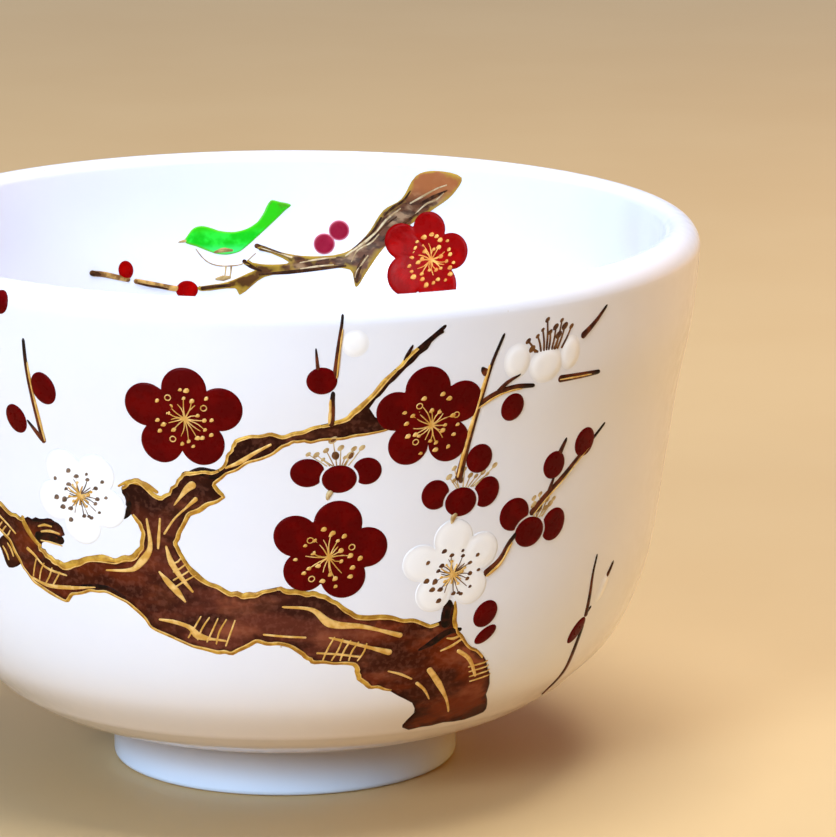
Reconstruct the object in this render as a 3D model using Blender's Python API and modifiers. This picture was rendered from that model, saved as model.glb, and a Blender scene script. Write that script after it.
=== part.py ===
"""Tea bowl (chawan): clay bowl body, foot ring, and raised enamel plum branches fired onto the glaze.

Sizes below are in millimetres and degrees; the model is in metres, +Z up.
The origin is on the bowl's axis, at the plane it stands on. A place on the wall is (angle, height):
the angle is 0 at the front (-Y) and grows towards +X; the height is above the standing plane.
"""
import math

import bmesh
import bpy
import numpy as np

MM = 0.001

# Driving dimensions
RIM_RADIUS = 60.0
HEIGHT = 79.0
FOOT_RADIUS = 25.0
FOOT_HEIGHT = 7.0
FOOT_WALL = 5.0
CLEARANCE = 0.3      # between a piece and the one it rests on
ENAMEL = 0.4         # thickness of the raised enamel

# Lip: an outer and an inner rounding that meet at the crest
LIP_OUTER = 3.3
LIP_INNER = 1.7
CREST_RADIUS = RIM_RADIUS - LIP_OUTER

# Underside, outer wall, inner wall and floor, each as (radius, height) in the order of the profile
BASE_HEIGHT = FOOT_HEIGHT + CLEARANCE
BASE_RADIUS = FOOT_RADIUS + 1.0
CREASE = (42.0, 13.4)
UNDERSIDE = [CREASE, (38.2, 11.0), (34.0, 9.2), (30.0, 8.0), (BASE_RADIUS, BASE_HEIGHT)]
OUTER_WALL = [
    CREASE, (48.4, 20.0), (52.7, 30.0), (55.3, 45.0), (57.0, 56.0), (59.0, 66.0),
    (RIM_RADIUS, HEIGHT - LIP_OUTER),
]
INNER_WALL = [
    (47.9, 31.5), (50.5, 45.5), (52.3, 57.0), (54.3, 67.0), (CREST_RADIUS - LIP_INNER, HEIGHT - LIP_INNER),
]
FLOOR = [(0.0, 12.5), (18.0, 12.9), (30.0, 14.2), (38.3, 17.0), (44.0, 22.5), INNER_WALL[0]]

# Facets of the turned pieces; enamel is cut along the same lines, so that it follows the facets
TURN_STEPS = 72
FACET_ANGLE = 360 / TURN_STEPS
FOOT_ROUNDING = 0.9

# Blossoms: where the heart is, then each petal as (right, up, radius) from the heart
HEART_RADIUS = 2.4
RED_PETALS = {
    "plum_blossom_left": (
        (-13.1, 62.6), [(0.0, 4.0, 3.0), (-5.4, 1.6, 3.0), (4.8, 1.4, 2.9), (-3.6, -3.8, 2.9), (2.0, -3.8, 2.9)]),
    "plum_blossom_right": (
        (20.1, 61.0), [(-0.8, 5.4, 3.1), (-5.1, 2.4, 2.6), (4.3, 3.1, 2.8), (-3.1, -2.7, 2.8), (2.8, -2.7, 2.9)]),
    "plum_blossom_low": (
        (6.3, 42.7), [(1.2, 4.9, 3.2), (-4.5, 3.2, 2.9), (5.3, 1.2, 2.8), (-3.3, -1.9, 2.8), (2.0, -2.9, 3.0)]),
    "plum_blossom_far_left": (
        (-62.0, 66.0), [(0.6, 4.6, 2.9), (-4.4, 1.8, 2.9), (4.7, 0.9, 2.8), (-2.8, -3.6, 2.9), (2.6, -3.9, 2.8)]),
}
WHITE_PETALS = {
    "white_blossom_right": (
        (25.0, 38.9), [(-0.2, 5.3, 2.6), (-4.9, 2.1, 2.4), (4.3, 3.0, 2.4), (-2.7, -2.6, 2.4), (2.8, -2.1, 2.4)]),
    "white_blossom_left": (
        (-29.6, 50.1), [(3.6, -1.3, 2.4), (2.4, 3.2, 2.6), (-2.2, 3.4, 2.6), (-3.9, -1.0, 2.6), (-0.1, -4.0, 2.4)]),
    "white_half_blossom": (
        (37.2, 67.6), [(-4.8, 1.2, 2.1), (0.0, 0.0, 2.7), (4.2, 1.2, 2.0)]),
}
INSIDE_PETALS = {
    "inside_blossom": (
        (154.9, 63.4), [(-0.7, 4.8, 2.3), (-5.2, 2.1, 2.3), (3.7, 1.3, 2.5), (-4.0, -3.0, 2.5), (1.7, -3.6, 2.6)]),
}

# Buds and single petals: (angle, height), half width, half height, tilt to the left in degrees
RED_BUDS = {
    "bud_upper_middle": ((4.8, 68.1), 1.9, 1.8, 0),
    "bud_upper_right": ((32.3, 62.2), 1.7, 1.9, -15),
    "bud_mid_right": ((28.1, 55.3), 1.8, 1.9, -15),
    "bud_side_low": ((41.0, 52.9), 1.5, 1.9, -15),
    "bud_side_high": ((46.8, 55.3), 1.5, 1.9, -15),
    "bud_trunk_large": ((31.3, 32.2), 2.0, 1.8, 50),
    "bud_trunk_small": ((31.8, 29.0), 1.8, 0.9, 35),
    "bud_far_right": ((53.0, 25.9), 1.1, 2.0, -35),
    "bud_left_twig_upper": ((-33.2, 65.1), 1.6, 2.1, 25),
    "bud_left_twig_lower": ((-39.2, 59.9), 1.5, 1.9, 20),
    "bud_lip_left": ((-41.0, 75.6), 1.5, 1.6, 0),
    "bud_back_upper": ((-73.0, 69.0), 1.7, 1.9, 15),
    "bud_back_lower": ((-86.5, 63.8), 1.6, 1.9, 25),
    "nodding_petal_upper_left": ((3.2, 54.9), 2.1, 1.8, 0),
    "nodding_petal_upper_middle": ((7.6, 53.7), 2.0, 1.8, 0),
    "nodding_petal_upper_right": ((11.8, 54.9), 1.8, 1.7, 0),
    "nodding_petal_mid_left": ((21.4, 50.8), 1.8, 1.9, 0),
    "nodding_petal_mid_middle": ((25.5, 49.5), 1.9, 1.8, 0),
    "nodding_petal_mid_right": ((29.5, 50.4), 1.5, 1.9, -20),
    "nodding_petal_side_left": ((34.5, 46.6), 2.0, 2.1, 0),
    "nodding_petal_side_middle": ((38.0, 43.2), 1.9, 1.9, 0),
    "nodding_petal_side_right": ((42.4, 43.8), 1.5, 2.0, -20),
}
WHITE_BUDS = {
    "white_bud_upper": ((9.9, 73.3), 1.7, 1.7, 0),
    "white_bud_far_right": ((57.4, 31.5), 1.0, 2.1, -25),
}
INSIDE_BUDS = {
    "inside_bud_upper": ((170.4, 67.3), 1.4, 1.4, 0),
    "inside_bud_lower": ((173.2, 65.1), 1.4, 1.3, 0),
    "inside_bud_twig": ((206.6, 62.2), 1.1, 1.3, 0),
    "inside_bud_rim": ((196.2, 58.5), 1.4, 1.2, 0),
}

# Twigs: the width at the root and at the tip, then the route from root to tip
TWIGS = {
    "twig_upper": (0.9, 0.6, [(7.3, 68.6), (7.3, 70.4), (7.5, 73.4), (7.8, 77.0)]),
    "twig_upper_root": (0.8, 0.7, [(6.4, 63.0), (6.4, 64.6), (6.5, 65.9)]),
    "twig_right_tall": (0.8, 0.5, [(27.0, 58.2), (27.6, 61.0), (28.3, 64.2), (28.9, 68.2), (30.2, 72.6)]),
    "twig_right_short": (0.7, 0.8, [(29.3, 64.6), (30.6, 65.1), (32.6, 65.3), (35.0, 64.8)]),
    "twig_lip_right": (0.9, 0.5, [(43.5, 71.1), (45.7, 72.4), (47.9, 74.3)]),
    "twig_side_level": (0.8, 0.7, [(40.6, 64.7), (43.2, 65.0), (47.7, 64.9)]),
    "twig_side_upper": (0.8, 0.5, [(40.4, 48.9), (42.9, 50.2), (46.0, 52.2)]),
    "twig_side_lower": (1.1, 0.8, [(30.8, 38.6), (32.8, 39.4), (33.8, 41.4), (35.2, 43.2)]),
    "twig_left": (0.9, 0.6, [(-34.8, 57.2), (-35.3, 60.0), (-35.9, 64.8), (-36.4, 69.0), (-36.3, 71.8)]),
    "twig_far_right_top": (0.8, 0.4, [(54.3, 29.0), (53.9, 31.4), (53.8, 34.3), (54.4, 36.8)]),
    "twig_far_right_root": (0.5, 0.9, [(59.0, 14.3), (56.8, 18.0), (55.4, 21.6), (54.9, 23.4)]),
    "twig_far_left": (1.0, 0.6, [(-52.5, 54.3), (-49.0, 57.8), (-45.0, 60.8), (-41.6, 63.7)]),
    "twig_back": (0.9, 0.5, [(-77.5, 60.7), (-76.4, 64.5), (-76.6, 69.0), (-78.0, 73.5)]),
}

# The old trunk, clockwise from its hidden left end: top edge, rising limb, thick end, underside
TRUNK_TOP = [
    (-95.0, 60.6), (-84.0, 60.3), (-74.0, 58.4), (-64.0, 55.7), (-54.5, 52.2), (-48.5, 49.3), (-43.2, 46.2),
    (-40.2, 45.5), (-37.2, 45.7), (-34.5, 45.8), (-33.0, 43.9), (-36.2, 42.6), (-37.6, 41.9), (-35.8, 40.5),
    (-33.0, 39.8), (-29.2, 41.3), (-23.4, 41.7), (-21.0, 43.6), (-20.7, 46.2), (-22.0, 47.9),
]
LIMB_LEFT = [
    (-21.6, 50.0), (-22.6, 52.0), (-20.6, 53.0), (-17.2, 51.2), (-15.2, 53.0), (-13.2, 55.0), (-8.9, 55.3),
    (-7.2, 58.3), (-6.2, 59.6), (-2.4, 60.8), (0.0, 60.5), (5.0, 61.9), (8.4, 63.0), (10.8, 65.0),
    (14.6, 69.4), (17.6, 72.2), (21.2, 74.7),
]
LIMB_RIGHT = [
    (18.9, 71.9), (15.3, 68.5), (12.6, 65.8), (11.5, 63.4), (12.6, 60.9), (9.5, 60.0), (3.5, 59.4), (0.6, 59.0),
    (-1.8, 57.6), (-7.8, 54.6), (-9.4, 53.2), (-8.2, 51.3), (-13.0, 48.4), (-15.0, 45.0), (-14.6, 42.6),
    (-12.8, 40.5),
]
TRUNK_END = [
    (-8.4, 38.0), (-5.2, 37.5), (-1.2, 38.4), (1.4, 37.2), (5.2, 37.0), (7.6, 35.8), (10.6, 34.1), (17.8, 33.1),
    (23.4, 31.8), (24.6, 33.9), (25.6, 33.9), (26.4, 31.0), (29.0, 28.1), (32.4, 25.6), (34.8, 22.4),
    (36.4, 18.8), (40.0, 14.7), (31.0, 14.1), (22.2, 14.3), (22.6, 18.2),
]
TRUNK_UNDERSIDE = [
    (17.0, 21.6), (12.4, 23.1), (11.2, 24.7), (10.6, 26.5), (4.2, 27.0), (2.2, 28.7), (-4.1, 30.1), (-8.0, 28.4),
    (-12.0, 28.8), (-19.2, 31.1), (-22.8, 34.4), (-27.0, 36.2), (-31.8, 35.4), (-34.4, 33.9), (-39.8, 36.0),
    (-42.2, 38.8), (-44.6, 42.2), (-54.5, 48.0), (-64.0, 52.6), (-74.0, 56.0), (-84.0, 58.8),
]

INSIDE_TWIGS = {
    "inside_twig_tip": (0.7, 0.9, [(208.4, 61.3), (210.6, 61.9), (212.8, 62.2)]),
    "inside_twig_middle": (0.8, 0.7, [(198.6, 58.9), (201.6, 59.6), (204.8, 60.4)]),
}

# The branch inside the bowl, as its upper edge from thin to thick end, then back along its lower edge
INSIDE_BRANCH_UPPER = [
    (194.0, 58.8), (189.4, 59.3), (184.6, 61.0), (186.3, 62.3),
    (182.8, 61.6), (179.0, 62.2), (184.2, 64.5), (177.2, 63.2), (170.0, 63.7), (166.4, 66.4), (163.6, 70.4),
    (160.6, 72.3), (158.2, 76.0), (155.0, 77.0), (150.2, 76.3),
]
INSIDE_BRANCH_LOWER = [
    (152.2, 73.6), (157.0, 71.3), (162.3, 69.0), (165.2, 65.6), (165.2, 62.8), (167.8, 58.7), (168.8, 61.2),
    (175.0, 61.0), (183.0, 60.0), (187.2, 57.4), (188.0, 58.4), (193.6, 58.2),
]

# The warbler's back, wing and tail, from its beak over the back to the tail and under
BIRD = [
    (197.2, 65.8), (195.8, 67.0), (193.3, 67.9), (190.5, 67.0), (187.4, 67.0), (184.4, 68.5), (182.1, 71.4),
    (178.6, 70.8), (181.4, 68.4), (184.6, 66.0), (187.4, 64.1), (189.8, 63.6), (192.3, 64.6), (195.0, 65.2),
]

GLAZE = ("white_glaze", (0.88, 0.88, 0.89), 0.18)
RED = ("red_enamel", (0.13, 0.002, 0.004), 0.25)
BRIGHT_RED = ("bright_red_enamel", (0.42, 0.004, 0.004), 0.25)
WHITE = ("white_enamel", (0.90, 0.90, 0.95), 0.25)
BROWN = ("brown_enamel", (0.09, 0.03, 0.022), 0.35)
GREEN = ("green_enamel", (0.01, 0.45, 0.03), 0.2)


def clear_scene():
    for thing in list(bpy.data.objects):
        bpy.data.objects.remove(thing, do_unlink=True)


def new_collection(name):
    collection = bpy.data.collections.new(name)
    bpy.context.scene.collection.children.link(collection)
    return collection


def material(finish):
    name, colour, roughness = finish
    made = bpy.data.materials.get(name)
    if made is None:
        made = bpy.data.materials.new(name)
        made.use_nodes = True
        shader = made.node_tree.nodes["Principled BSDF"]
        shader.inputs["Base Color"].default_value = (*colour, 1)
        shader.inputs["Roughness"].default_value = roughness
    return made


def add_object(collection, name, mesh, finish):
    made = bpy.data.objects.new(name, mesh)
    mesh.materials.append(material(finish))
    collection.objects.link(made)
    return made


def smooth(points, per_span, closed=False):
    """A soft curve through the points: cubic spans, each point's slope taken from its two neighbours."""
    rows = np.array(points, float)
    if closed:
        rows = np.vstack([rows[-1], rows, rows[:2]])
    else:
        rows = np.vstack([2 * rows[0] - rows[1], rows, 2 * rows[-1] - rows[-2]])
    steps = np.linalg.norm(np.diff(rows, axis=0), axis=1)
    slopes = (rows[2:] - rows[:-2]) / (steps[1:] + steps[:-1])[:, None]
    curve = []
    for i in range(len(slopes) - 1):
        start, end, span = rows[i + 1], rows[i + 2], steps[i + 1]
        for t in np.arange(per_span) / per_span:
            curve.append((2 * t**3 - 3 * t**2 + 1) * start + (t**3 - 2 * t**2 + t) * span * slopes[i]
                         + (3 * t**2 - 2 * t**3) * end + (t**3 - t**2) * span * slopes[i + 1])
    if not closed:
        curve.append(rows[-2])
    return np.array(curve)


def arc(centre, radius, start, end, count):
    """Points on an arc in the profile's plane, from the start angle to the end angle in degrees."""
    angles = np.radians(np.linspace(start, end, count))
    return np.column_stack([centre[0] + radius * np.cos(angles), centre[1] + radius * np.sin(angles)])


def lip_outer(count):
    return arc((CREST_RADIUS, HEIGHT - LIP_OUTER), LIP_OUTER, 90, 0, count)


def lip_inner(count):
    return arc((CREST_RADIUS, HEIGHT - LIP_INNER), LIP_INNER, 180, 90, count)


def wall_table(inside):
    """The wall's radius against height, and the slope of that radius, for placing enamel on it."""
    if inside:
        curve = smooth(INNER_WALL, 12)
    else:
        curve = np.vstack([smooth(OUTER_WALL, 12)[:-1], lip_outer(12)[:1:-1]])
    return curve[:, 1], curve[:, 0], np.gradient(curve[:, 0], curve[:, 1])


WALL_TABLES = {False: wall_table(False), True: wall_table(True)}


def wall_radius(height, inside):
    heights, radii, _ = WALL_TABLES[inside]
    return float(np.interp(height, heights, radii))


def wall_point(angle, height, lift, inside):
    """The point that stands lift off the wall at this angle and height, in metres."""
    heights, _, slopes = WALL_TABLES[inside]
    slope = float(np.interp(height, heights, slopes))
    side = -1 if inside else 1
    tilt = math.atan(slope)
    radius = wall_radius(height, inside) + side * lift * math.cos(tilt)
    turn = math.radians(angle)
    up = height - side * lift * math.sin(tilt)
    return (radius * math.sin(turn) * MM, -radius * math.cos(turn) * MM, up * MM)


def turn(collection, name, profile, finish):
    """A piece turned on the bowl's axis from a profile of (radius, height) points."""
    mesh = bpy.data.meshes.new(name)
    edges = [(i, i + 1) for i in range(len(profile) - 1)]
    mesh.from_pydata([(radius * MM, 0, height * MM) for radius, height in profile], edges, [])
    made = add_object(collection, name, mesh, finish)
    screw = made.modifiers.new("turn", "SCREW")
    screw.steps = TURN_STEPS
    screw.render_steps = TURN_STEPS
    screw.use_merge_vertices = True
    screw.merge_threshold = 0.00001
    screw.use_smooth_shade = True
    return made


def bowl_body(collection):
    inner = np.vstack([smooth(FLOOR, 1)[:-1], smooth(INNER_WALL, 1)[:-1], lip_inner(3)[:-1]])
    outer = np.vstack([lip_outer(4)[:-1], smooth(OUTER_WALL, 2)[::-1][:-1]])
    under = np.vstack([smooth(UNDERSIDE, 1), [(0.0, BASE_HEIGHT)]])
    turn(collection, "bowl_body", np.vstack([inner, outer, under]), GLAZE)


def foot_ring(collection):
    inner = FOOT_RADIUS - FOOT_WALL
    low_out = arc((FOOT_RADIUS - FOOT_ROUNDING, FOOT_ROUNDING), FOOT_ROUNDING, 0, -90, 3)
    low_in = arc((inner + FOOT_ROUNDING, FOOT_ROUNDING), FOOT_ROUNDING, 270, 180, 3)
    top = (inner, FOOT_HEIGHT)
    profile = np.vstack([[top, (FOOT_RADIUS, FOOT_HEIGHT)], low_out, low_in, [top]])
    turn(collection, "foot_ring", profile, GLAZE)


def shift(place, right, up, inside):
    """The place on the wall that lies this far to the right and up, as seen by someone facing it."""
    angle, height = place
    side = -1 if inside else 1
    return (angle + side * math.degrees(right / wall_radius(height, inside)), height + up)


def petal_outline(place, petals, inside, count=40):
    """The outline of round petals that overlap a round heart: the furthest edge in each direction."""
    outline = []
    for direction in np.linspace(0, 2 * math.pi, count, endpoint=False):
        ray = np.array([math.cos(direction), math.sin(direction)])
        reach = 0
        for right, up, radius in petals + [(0, 0, HEART_RADIUS)]:
            along = ray[0] * right + ray[1] * up
            inner = radius**2 - right**2 - up**2 + along**2
            if inner > 0:
                reach = max(reach, along + math.sqrt(inner))
        outline.append(shift(place, *(ray * reach), inside))
    return outline


def bud_outline(place, half_width, half_height, tilt, inside, count=14):
    lean = math.radians(tilt)
    outline = []
    for direction in np.linspace(0, 2 * math.pi, count, endpoint=False):
        right = half_width * math.cos(direction)
        up = half_height * math.sin(direction)
        turned = (right * math.cos(lean) - up * math.sin(lean), right * math.sin(lean) + up * math.cos(lean))
        outline.append(shift(place, *turned, inside))
    return outline


def twig_outline(root_width, tip_width, route, inside):
    """The outline of a tapering stroke along the route."""
    centre = smooth(route, 3)
    per_degree = np.array([math.radians(wall_radius(height, inside)) for _, height in centre])
    flat = np.column_stack([centre[:, 0] * per_degree, centre[:, 1]])
    along = np.gradient(flat, axis=0)
    along /= np.linalg.norm(along, axis=1)[:, None]
    across = np.column_stack([-along[:, 1] / per_degree, along[:, 0]])
    half = np.linspace(root_width, tip_width, len(centre))[:, None] / 2
    return np.vstack([centre + across * half, (centre - across * half)[::-1]])


def flat_patch(outline):
    """A filled outline in the (angle, height) plane, cut along the facets of the wall, facing up."""
    patch = bmesh.new()
    corners = [patch.verts.new((angle, height, 0)) for angle, height in outline]
    for i, corner in enumerate(corners):
        patch.edges.new((corner, corners[i - 1]))
    bmesh.ops.triangle_fill(patch, edges=patch.edges[:], use_beauty=True, normal=(0, 0, 1))
    angles = [corner.co.x for corner in corners]
    first = math.ceil(min(angles) / FACET_ANGLE)
    last = math.floor(max(angles) / FACET_ANGLE)
    cuts = [((step * FACET_ANGLE, 0, 0), (1, 0, 0)) for step in range(first, last + 1)]
    facet_rows = smooth(OUTER_WALL, 2)[:, 1]
    lowest = min(corner.co.y for corner in corners)
    highest = max(corner.co.y for corner in corners)
    cuts += [((0, row, 0), (0, 1, 0)) for row in facet_rows if lowest < row < highest]
    for place, direction in cuts:
        geometry = patch.verts[:] + patch.edges[:] + patch.faces[:]
        bmesh.ops.bisect_plane(patch, geom=geometry, plane_co=place, plane_no=direction, dist=0.01)
    bmesh.ops.triangulate(patch, faces=patch.faces[:])
    bmesh.ops.recalc_face_normals(patch, faces=patch.faces[:])
    if sum(face.normal.z for face in patch.faces) < 0:
        bmesh.ops.reverse_faces(patch, faces=patch.faces[:])
    return patch


def enamel(collection, name, outline, finish, inside=False):
    """A thin raised layer of enamel with this outline, bent round the wall."""
    patch = flat_patch(outline)
    for corner in patch.verts:
        corner.co = wall_point(corner.co.x, corner.co.y, CLEARANCE, inside)
    if inside:
        bmesh.ops.reverse_faces(patch, faces=patch.faces[:])
    mesh = bpy.data.meshes.new(name)
    patch.to_mesh(mesh)
    patch.free()
    made = add_object(collection, name, mesh, finish)
    layer = made.modifiers.new("layer", "SOLIDIFY")
    layer.thickness = ENAMEL * MM
    layer.offset = 1


def blossoms(collection, table, finish, inside=False):
    for name, (place, petals) in table.items():
        enamel(collection, name, petal_outline(place, petals, inside), finish, inside)


def buds(collection, table, finish, inside=False):
    for name, (place, half_width, half_height, tilt) in table.items():
        outline = bud_outline(place, half_width, half_height, tilt, inside)
        enamel(collection, name, outline, finish, inside)


def twigs(collection, table, inside=False):
    for name, stroke in table.items():
        enamel(collection, name, twig_outline(*stroke, inside), BROWN, inside)


def trunk(collection):
    outline = TRUNK_TOP + LIMB_LEFT + LIMB_RIGHT + TRUNK_END + TRUNK_UNDERSIDE
    enamel(collection, "old_trunk", smooth(outline, 2, closed=True), BROWN)


def inside_painting(collection):
    branch = INSIDE_BRANCH_UPPER + INSIDE_BRANCH_LOWER
    enamel(collection, "inside_branch", smooth(branch, 2, closed=True), BROWN, inside=True)
    enamel(collection, "warbler", smooth(BIRD, 3, closed=True), GREEN, inside=True)
    twigs(collection, INSIDE_TWIGS, inside=True)
    blossoms(collection, INSIDE_PETALS, BRIGHT_RED, inside=True)
    buds(collection, INSIDE_BUDS, BRIGHT_RED, inside=True)


def main():
    clear_scene()
    bowl = new_collection("matcha_bowl")
    bowl_body(bowl)
    foot_ring(bowl)
    trunk(bowl)
    twigs(bowl, TWIGS)
    blossoms(bowl, RED_PETALS, RED)
    blossoms(bowl, WHITE_PETALS, WHITE)
    buds(bowl, RED_BUDS, RED)
    buds(bowl, WHITE_BUDS, WHITE)
    inside_painting(bowl)


main()
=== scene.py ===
"""Looks of the matcha bowl: glazed porcelain, raised enamel plum branches and gold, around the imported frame.

Sizes are in millimetres and degrees unless a name says otherwise; Blender works in metres, +Z up.
A place on the wall is (angle, height): the angle is 0 at the front (-Y) and grows towards +X, and the
height is above the plane that the bowl stands on. Shapes drawn round a place are (right, up) from it,
as seen by someone who faces that wall.
"""

import math
import random

import bmesh
import bpy
import numpy as np
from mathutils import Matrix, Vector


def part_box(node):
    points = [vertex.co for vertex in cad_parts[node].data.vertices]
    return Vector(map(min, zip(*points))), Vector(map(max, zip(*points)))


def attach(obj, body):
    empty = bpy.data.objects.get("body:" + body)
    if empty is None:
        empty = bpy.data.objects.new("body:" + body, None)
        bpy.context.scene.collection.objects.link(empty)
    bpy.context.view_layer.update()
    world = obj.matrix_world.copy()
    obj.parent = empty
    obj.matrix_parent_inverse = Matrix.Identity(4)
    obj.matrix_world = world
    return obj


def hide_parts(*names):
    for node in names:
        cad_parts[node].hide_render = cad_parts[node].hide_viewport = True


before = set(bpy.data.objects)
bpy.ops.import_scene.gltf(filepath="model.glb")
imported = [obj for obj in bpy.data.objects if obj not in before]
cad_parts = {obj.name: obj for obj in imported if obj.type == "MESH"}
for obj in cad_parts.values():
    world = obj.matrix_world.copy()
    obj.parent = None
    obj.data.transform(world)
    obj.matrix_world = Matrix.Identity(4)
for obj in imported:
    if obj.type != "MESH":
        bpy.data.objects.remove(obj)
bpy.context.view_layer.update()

MM = 0.001
BODY_LOW, BODY_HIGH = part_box("bowl_body")
RIM_RADIUS = BODY_HIGH.x / MM
HEIGHT = BODY_HIGH.z / MM
BASE_HEIGHT = BODY_LOW.z / MM
FOOT_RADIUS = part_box("foot_ring")[1].x / MM

# The bowl's profile as (radius, height): the lip's two roundings, the underside, the walls and the floor
LIP_OUTER = 3.3
LIP_INNER = 1.7
CREST_RADIUS = RIM_RADIUS - LIP_OUTER
CREASE = (42.0, 13.4)
UNDERSIDE = [CREASE, (38.2, 11.0), (34.0, 9.2), (30.0, 8.0), (FOOT_RADIUS + 1, BASE_HEIGHT)]
OUTER_WALL = [
    CREASE, (48.4, 20.0), (52.7, 30.0), (55.3, 45.0), (57.0, 56.0), (59.0, 66.0), (RIM_RADIUS, HEIGHT - LIP_OUTER),
]
INNER_WALL = [
    (47.9, 31.5), (50.5, 45.5), (52.3, 57.0), (54.3, 67.0), (CREST_RADIUS - LIP_INNER, HEIGHT - LIP_INNER),
]
FLOOR = [(0.0, 12.5), (18.0, 12.9), (30.0, 14.2), (38.3, 17.0), (44.0, 22.5), INNER_WALL[0]]
FOOT_WALL = 5.0
FOOT_ROUNDING = 0.9
FOOT_STRAIGHT = 5.0  # height up to which the foot's sides are upright
FOOT_FLARE = [(1.2, 0.3), (0.25, -0.9)]    # how far the sides stand out there, and the height from the base
SEGMENTS = 384       # round the turned pieces

# How high the enamel and the gold stand, and how wide their rounded edges are
SINK = 0.12          # how far every painted shape reaches into the glaze below it
TRUNK_RISE = 0.16
PETAL_RISE = 0.2
WHITE_RISE = 0.17
GOLD_RISE = 0.07
VALLEY = 0.35        # how high the bottom of the valley between two petals stands, as a share of their rise
EDGE_WIDTH = 0.45
WHITE_EDGE = 1.1
PETAL_GAP = 0.28     # bare glaze between a nodding flower's middle petal and those beside it
EDGE_RINGS = (0.1, 0.25, 0.45)   # how far in from its edge a filled shape's rings of faces lie
BLOB_RINGS = (0.25, 0.5, 0.7, 0.82, 0.9, 0.95, 0.985, 1.0)   # the same for a blob, as shares of its outline
CURVE_STEPS = 4      # points from one corner of an outline to the next

# Blossoms: where the heart is, then each petal as (right, up, radius) from the heart
HEART_RADIUS = 2.4
RED_BLOSSOMS = {
    "plum_blossom_left": (
        (-13.1, 62.6), [(0.0, 4.1, 3.1), (-5.3, 1.7, 3.1), (4.8, 1.4, 3.1), (-3.5, -3.6, 3.0), (2.2, -3.6, 3.1)]),
    "plum_blossom_right": (
        (20.1, 61.0), [(-0.8, 5.2, 3.2), (-5.1, 2.3, 2.8), (4.3, 3.0, 2.95), (-3.1, -2.7, 2.9), (2.8, -2.6, 3.0)]),
    "plum_blossom_low": (
        (6.3, 42.7), [(1.2, 4.8, 3.3), (-4.5, 3.1, 3.0), (5.2, 1.2, 2.9), (-3.3, -2.0, 2.9), (2.0, -2.9, 3.15)]),
    "plum_blossom_far_left": (
        (-62.0, 66.0), [(0.6, 4.6, 3.0), (-4.4, 1.8, 3.0), (4.7, 0.9, 2.9), (-2.8, -3.6, 3.0), (2.6, -3.9, 2.9)]),
}
WHITE_BLOSSOMS = {
    "white_blossom_right": (
        (25.0, 38.9), [(-0.2, 5.1, 2.9), (-4.8, 2.0, 2.7), (4.2, 2.9, 2.7), (-2.7, -2.6, 2.7), (2.8, -2.1, 2.7)]),
    "white_blossom_left": (
        (-29.6, 50.1), [(3.9, -1.4, 2.9), (2.6, 3.3, 2.9), (-2.4, 3.5, 2.9), (-4.1, -1.1, 2.9), (-0.1, -4.2, 2.9)]),
    "white_half_blossom": (
        (37.2, 67.6), [(-5.0, 1.2, 2.2), (0.0, 0.0, 2.9), (4.3, 1.2, 2.2)]),
}
INSIDE_BLOSSOM = (
    (154.9, 63.4), [(-0.7, 4.7, 2.6), (-5.0, 2.5, 2.75), (3.2, 1.6, 2.75), (-4.0, -2.6, 3.1), (1.3, -3.7, 3.3)])

# Buds and single petals: (angle, height), half width, half height, tilt to the left in degrees
RED_BUDS = {
    "bud_upper_middle": ((5.0, 68.1), 2.1, 1.9, 0),
    "bud_upper_right": ((32.3, 62.2), 1.85, 2.0, -15),
    "bud_mid_right": ((27.9, 55.3), 2.0, 2.1, -15),
    "bud_side_low": ((41.2, 52.5), 2.0, 2.0, -15),
    "bud_side_high": ((47.0, 54.9), 2.0, 2.1, -20),
    "bud_trunk_large": ((31.3, 32.2), 2.1, 1.8, 50),
    "bud_trunk_small": ((31.9, 29.0), 1.9, 1.0, 35),
    "bud_far_right": ((53.0, 25.9), 1.25, 2.1, -35),
    "bud_left_twig_upper": ((-33.6, 65.1), 1.95, 2.35, 25),
    "bud_left_twig_lower": ((-39.1, 60.0), 1.75, 2.1, 20),
    "bud_lip_left": ((-40.0, 76.4), 1.6, 1.6, 0),
    "bud_back_upper": ((-73.0, 69.0), 1.8, 2.0, 15),
    "bud_back_lower": ((-86.5, 63.8), 1.7, 2.0, 25),
    "nodding_petal_upper_left": ((3.2, 54.9), 2.35, 2.05, 0),
    "nodding_petal_upper_middle": ((7.6, 53.9), 2.4, 2.0, 0),
    "nodding_petal_upper_right": ((11.4, 54.9), 2.05, 1.95, 0),
    "nodding_petal_mid_left": ((21.5, 50.7), 2.05, 2.15, 0),
    "nodding_petal_mid_middle": ((25.5, 49.3), 2.4, 2.1, 0),
    "nodding_petal_mid_right": ((29.5, 50.3), 2.0, 2.25, -25),
    "nodding_petal_side_left": ((34.7, 46.3), 2.5, 2.4, 0),
    "nodding_petal_side_middle": ((37.8, 43.3), 2.55, 2.2, 0),
    "nodding_petal_side_right": ((42.4, 43.7), 2.2, 2.4, -20),
}
WHITE_BUDS = {
    "white_bud_upper": ((9.3, 73.2), 1.9, 1.9, 0),
    "white_bud_far_right": ((57.4, 31.5), 1.2, 2.2, -25),
}
INSIDE_BUDS = {
    "inside_bud_twig": ((206.6, 62.2), 1.25, 1.4, 0),
    "inside_bud_rim": ((196.2, 58.5), 1.75, 1.4, 0),
}
INSIDE_PINK_BUDS = {
    "inside_bud_upper": ((170.8, 67.1), 1.6, 1.55, 0),
    "inside_bud_lower": ((173.2, 65.0), 1.65, 1.6, 0),
}

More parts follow.
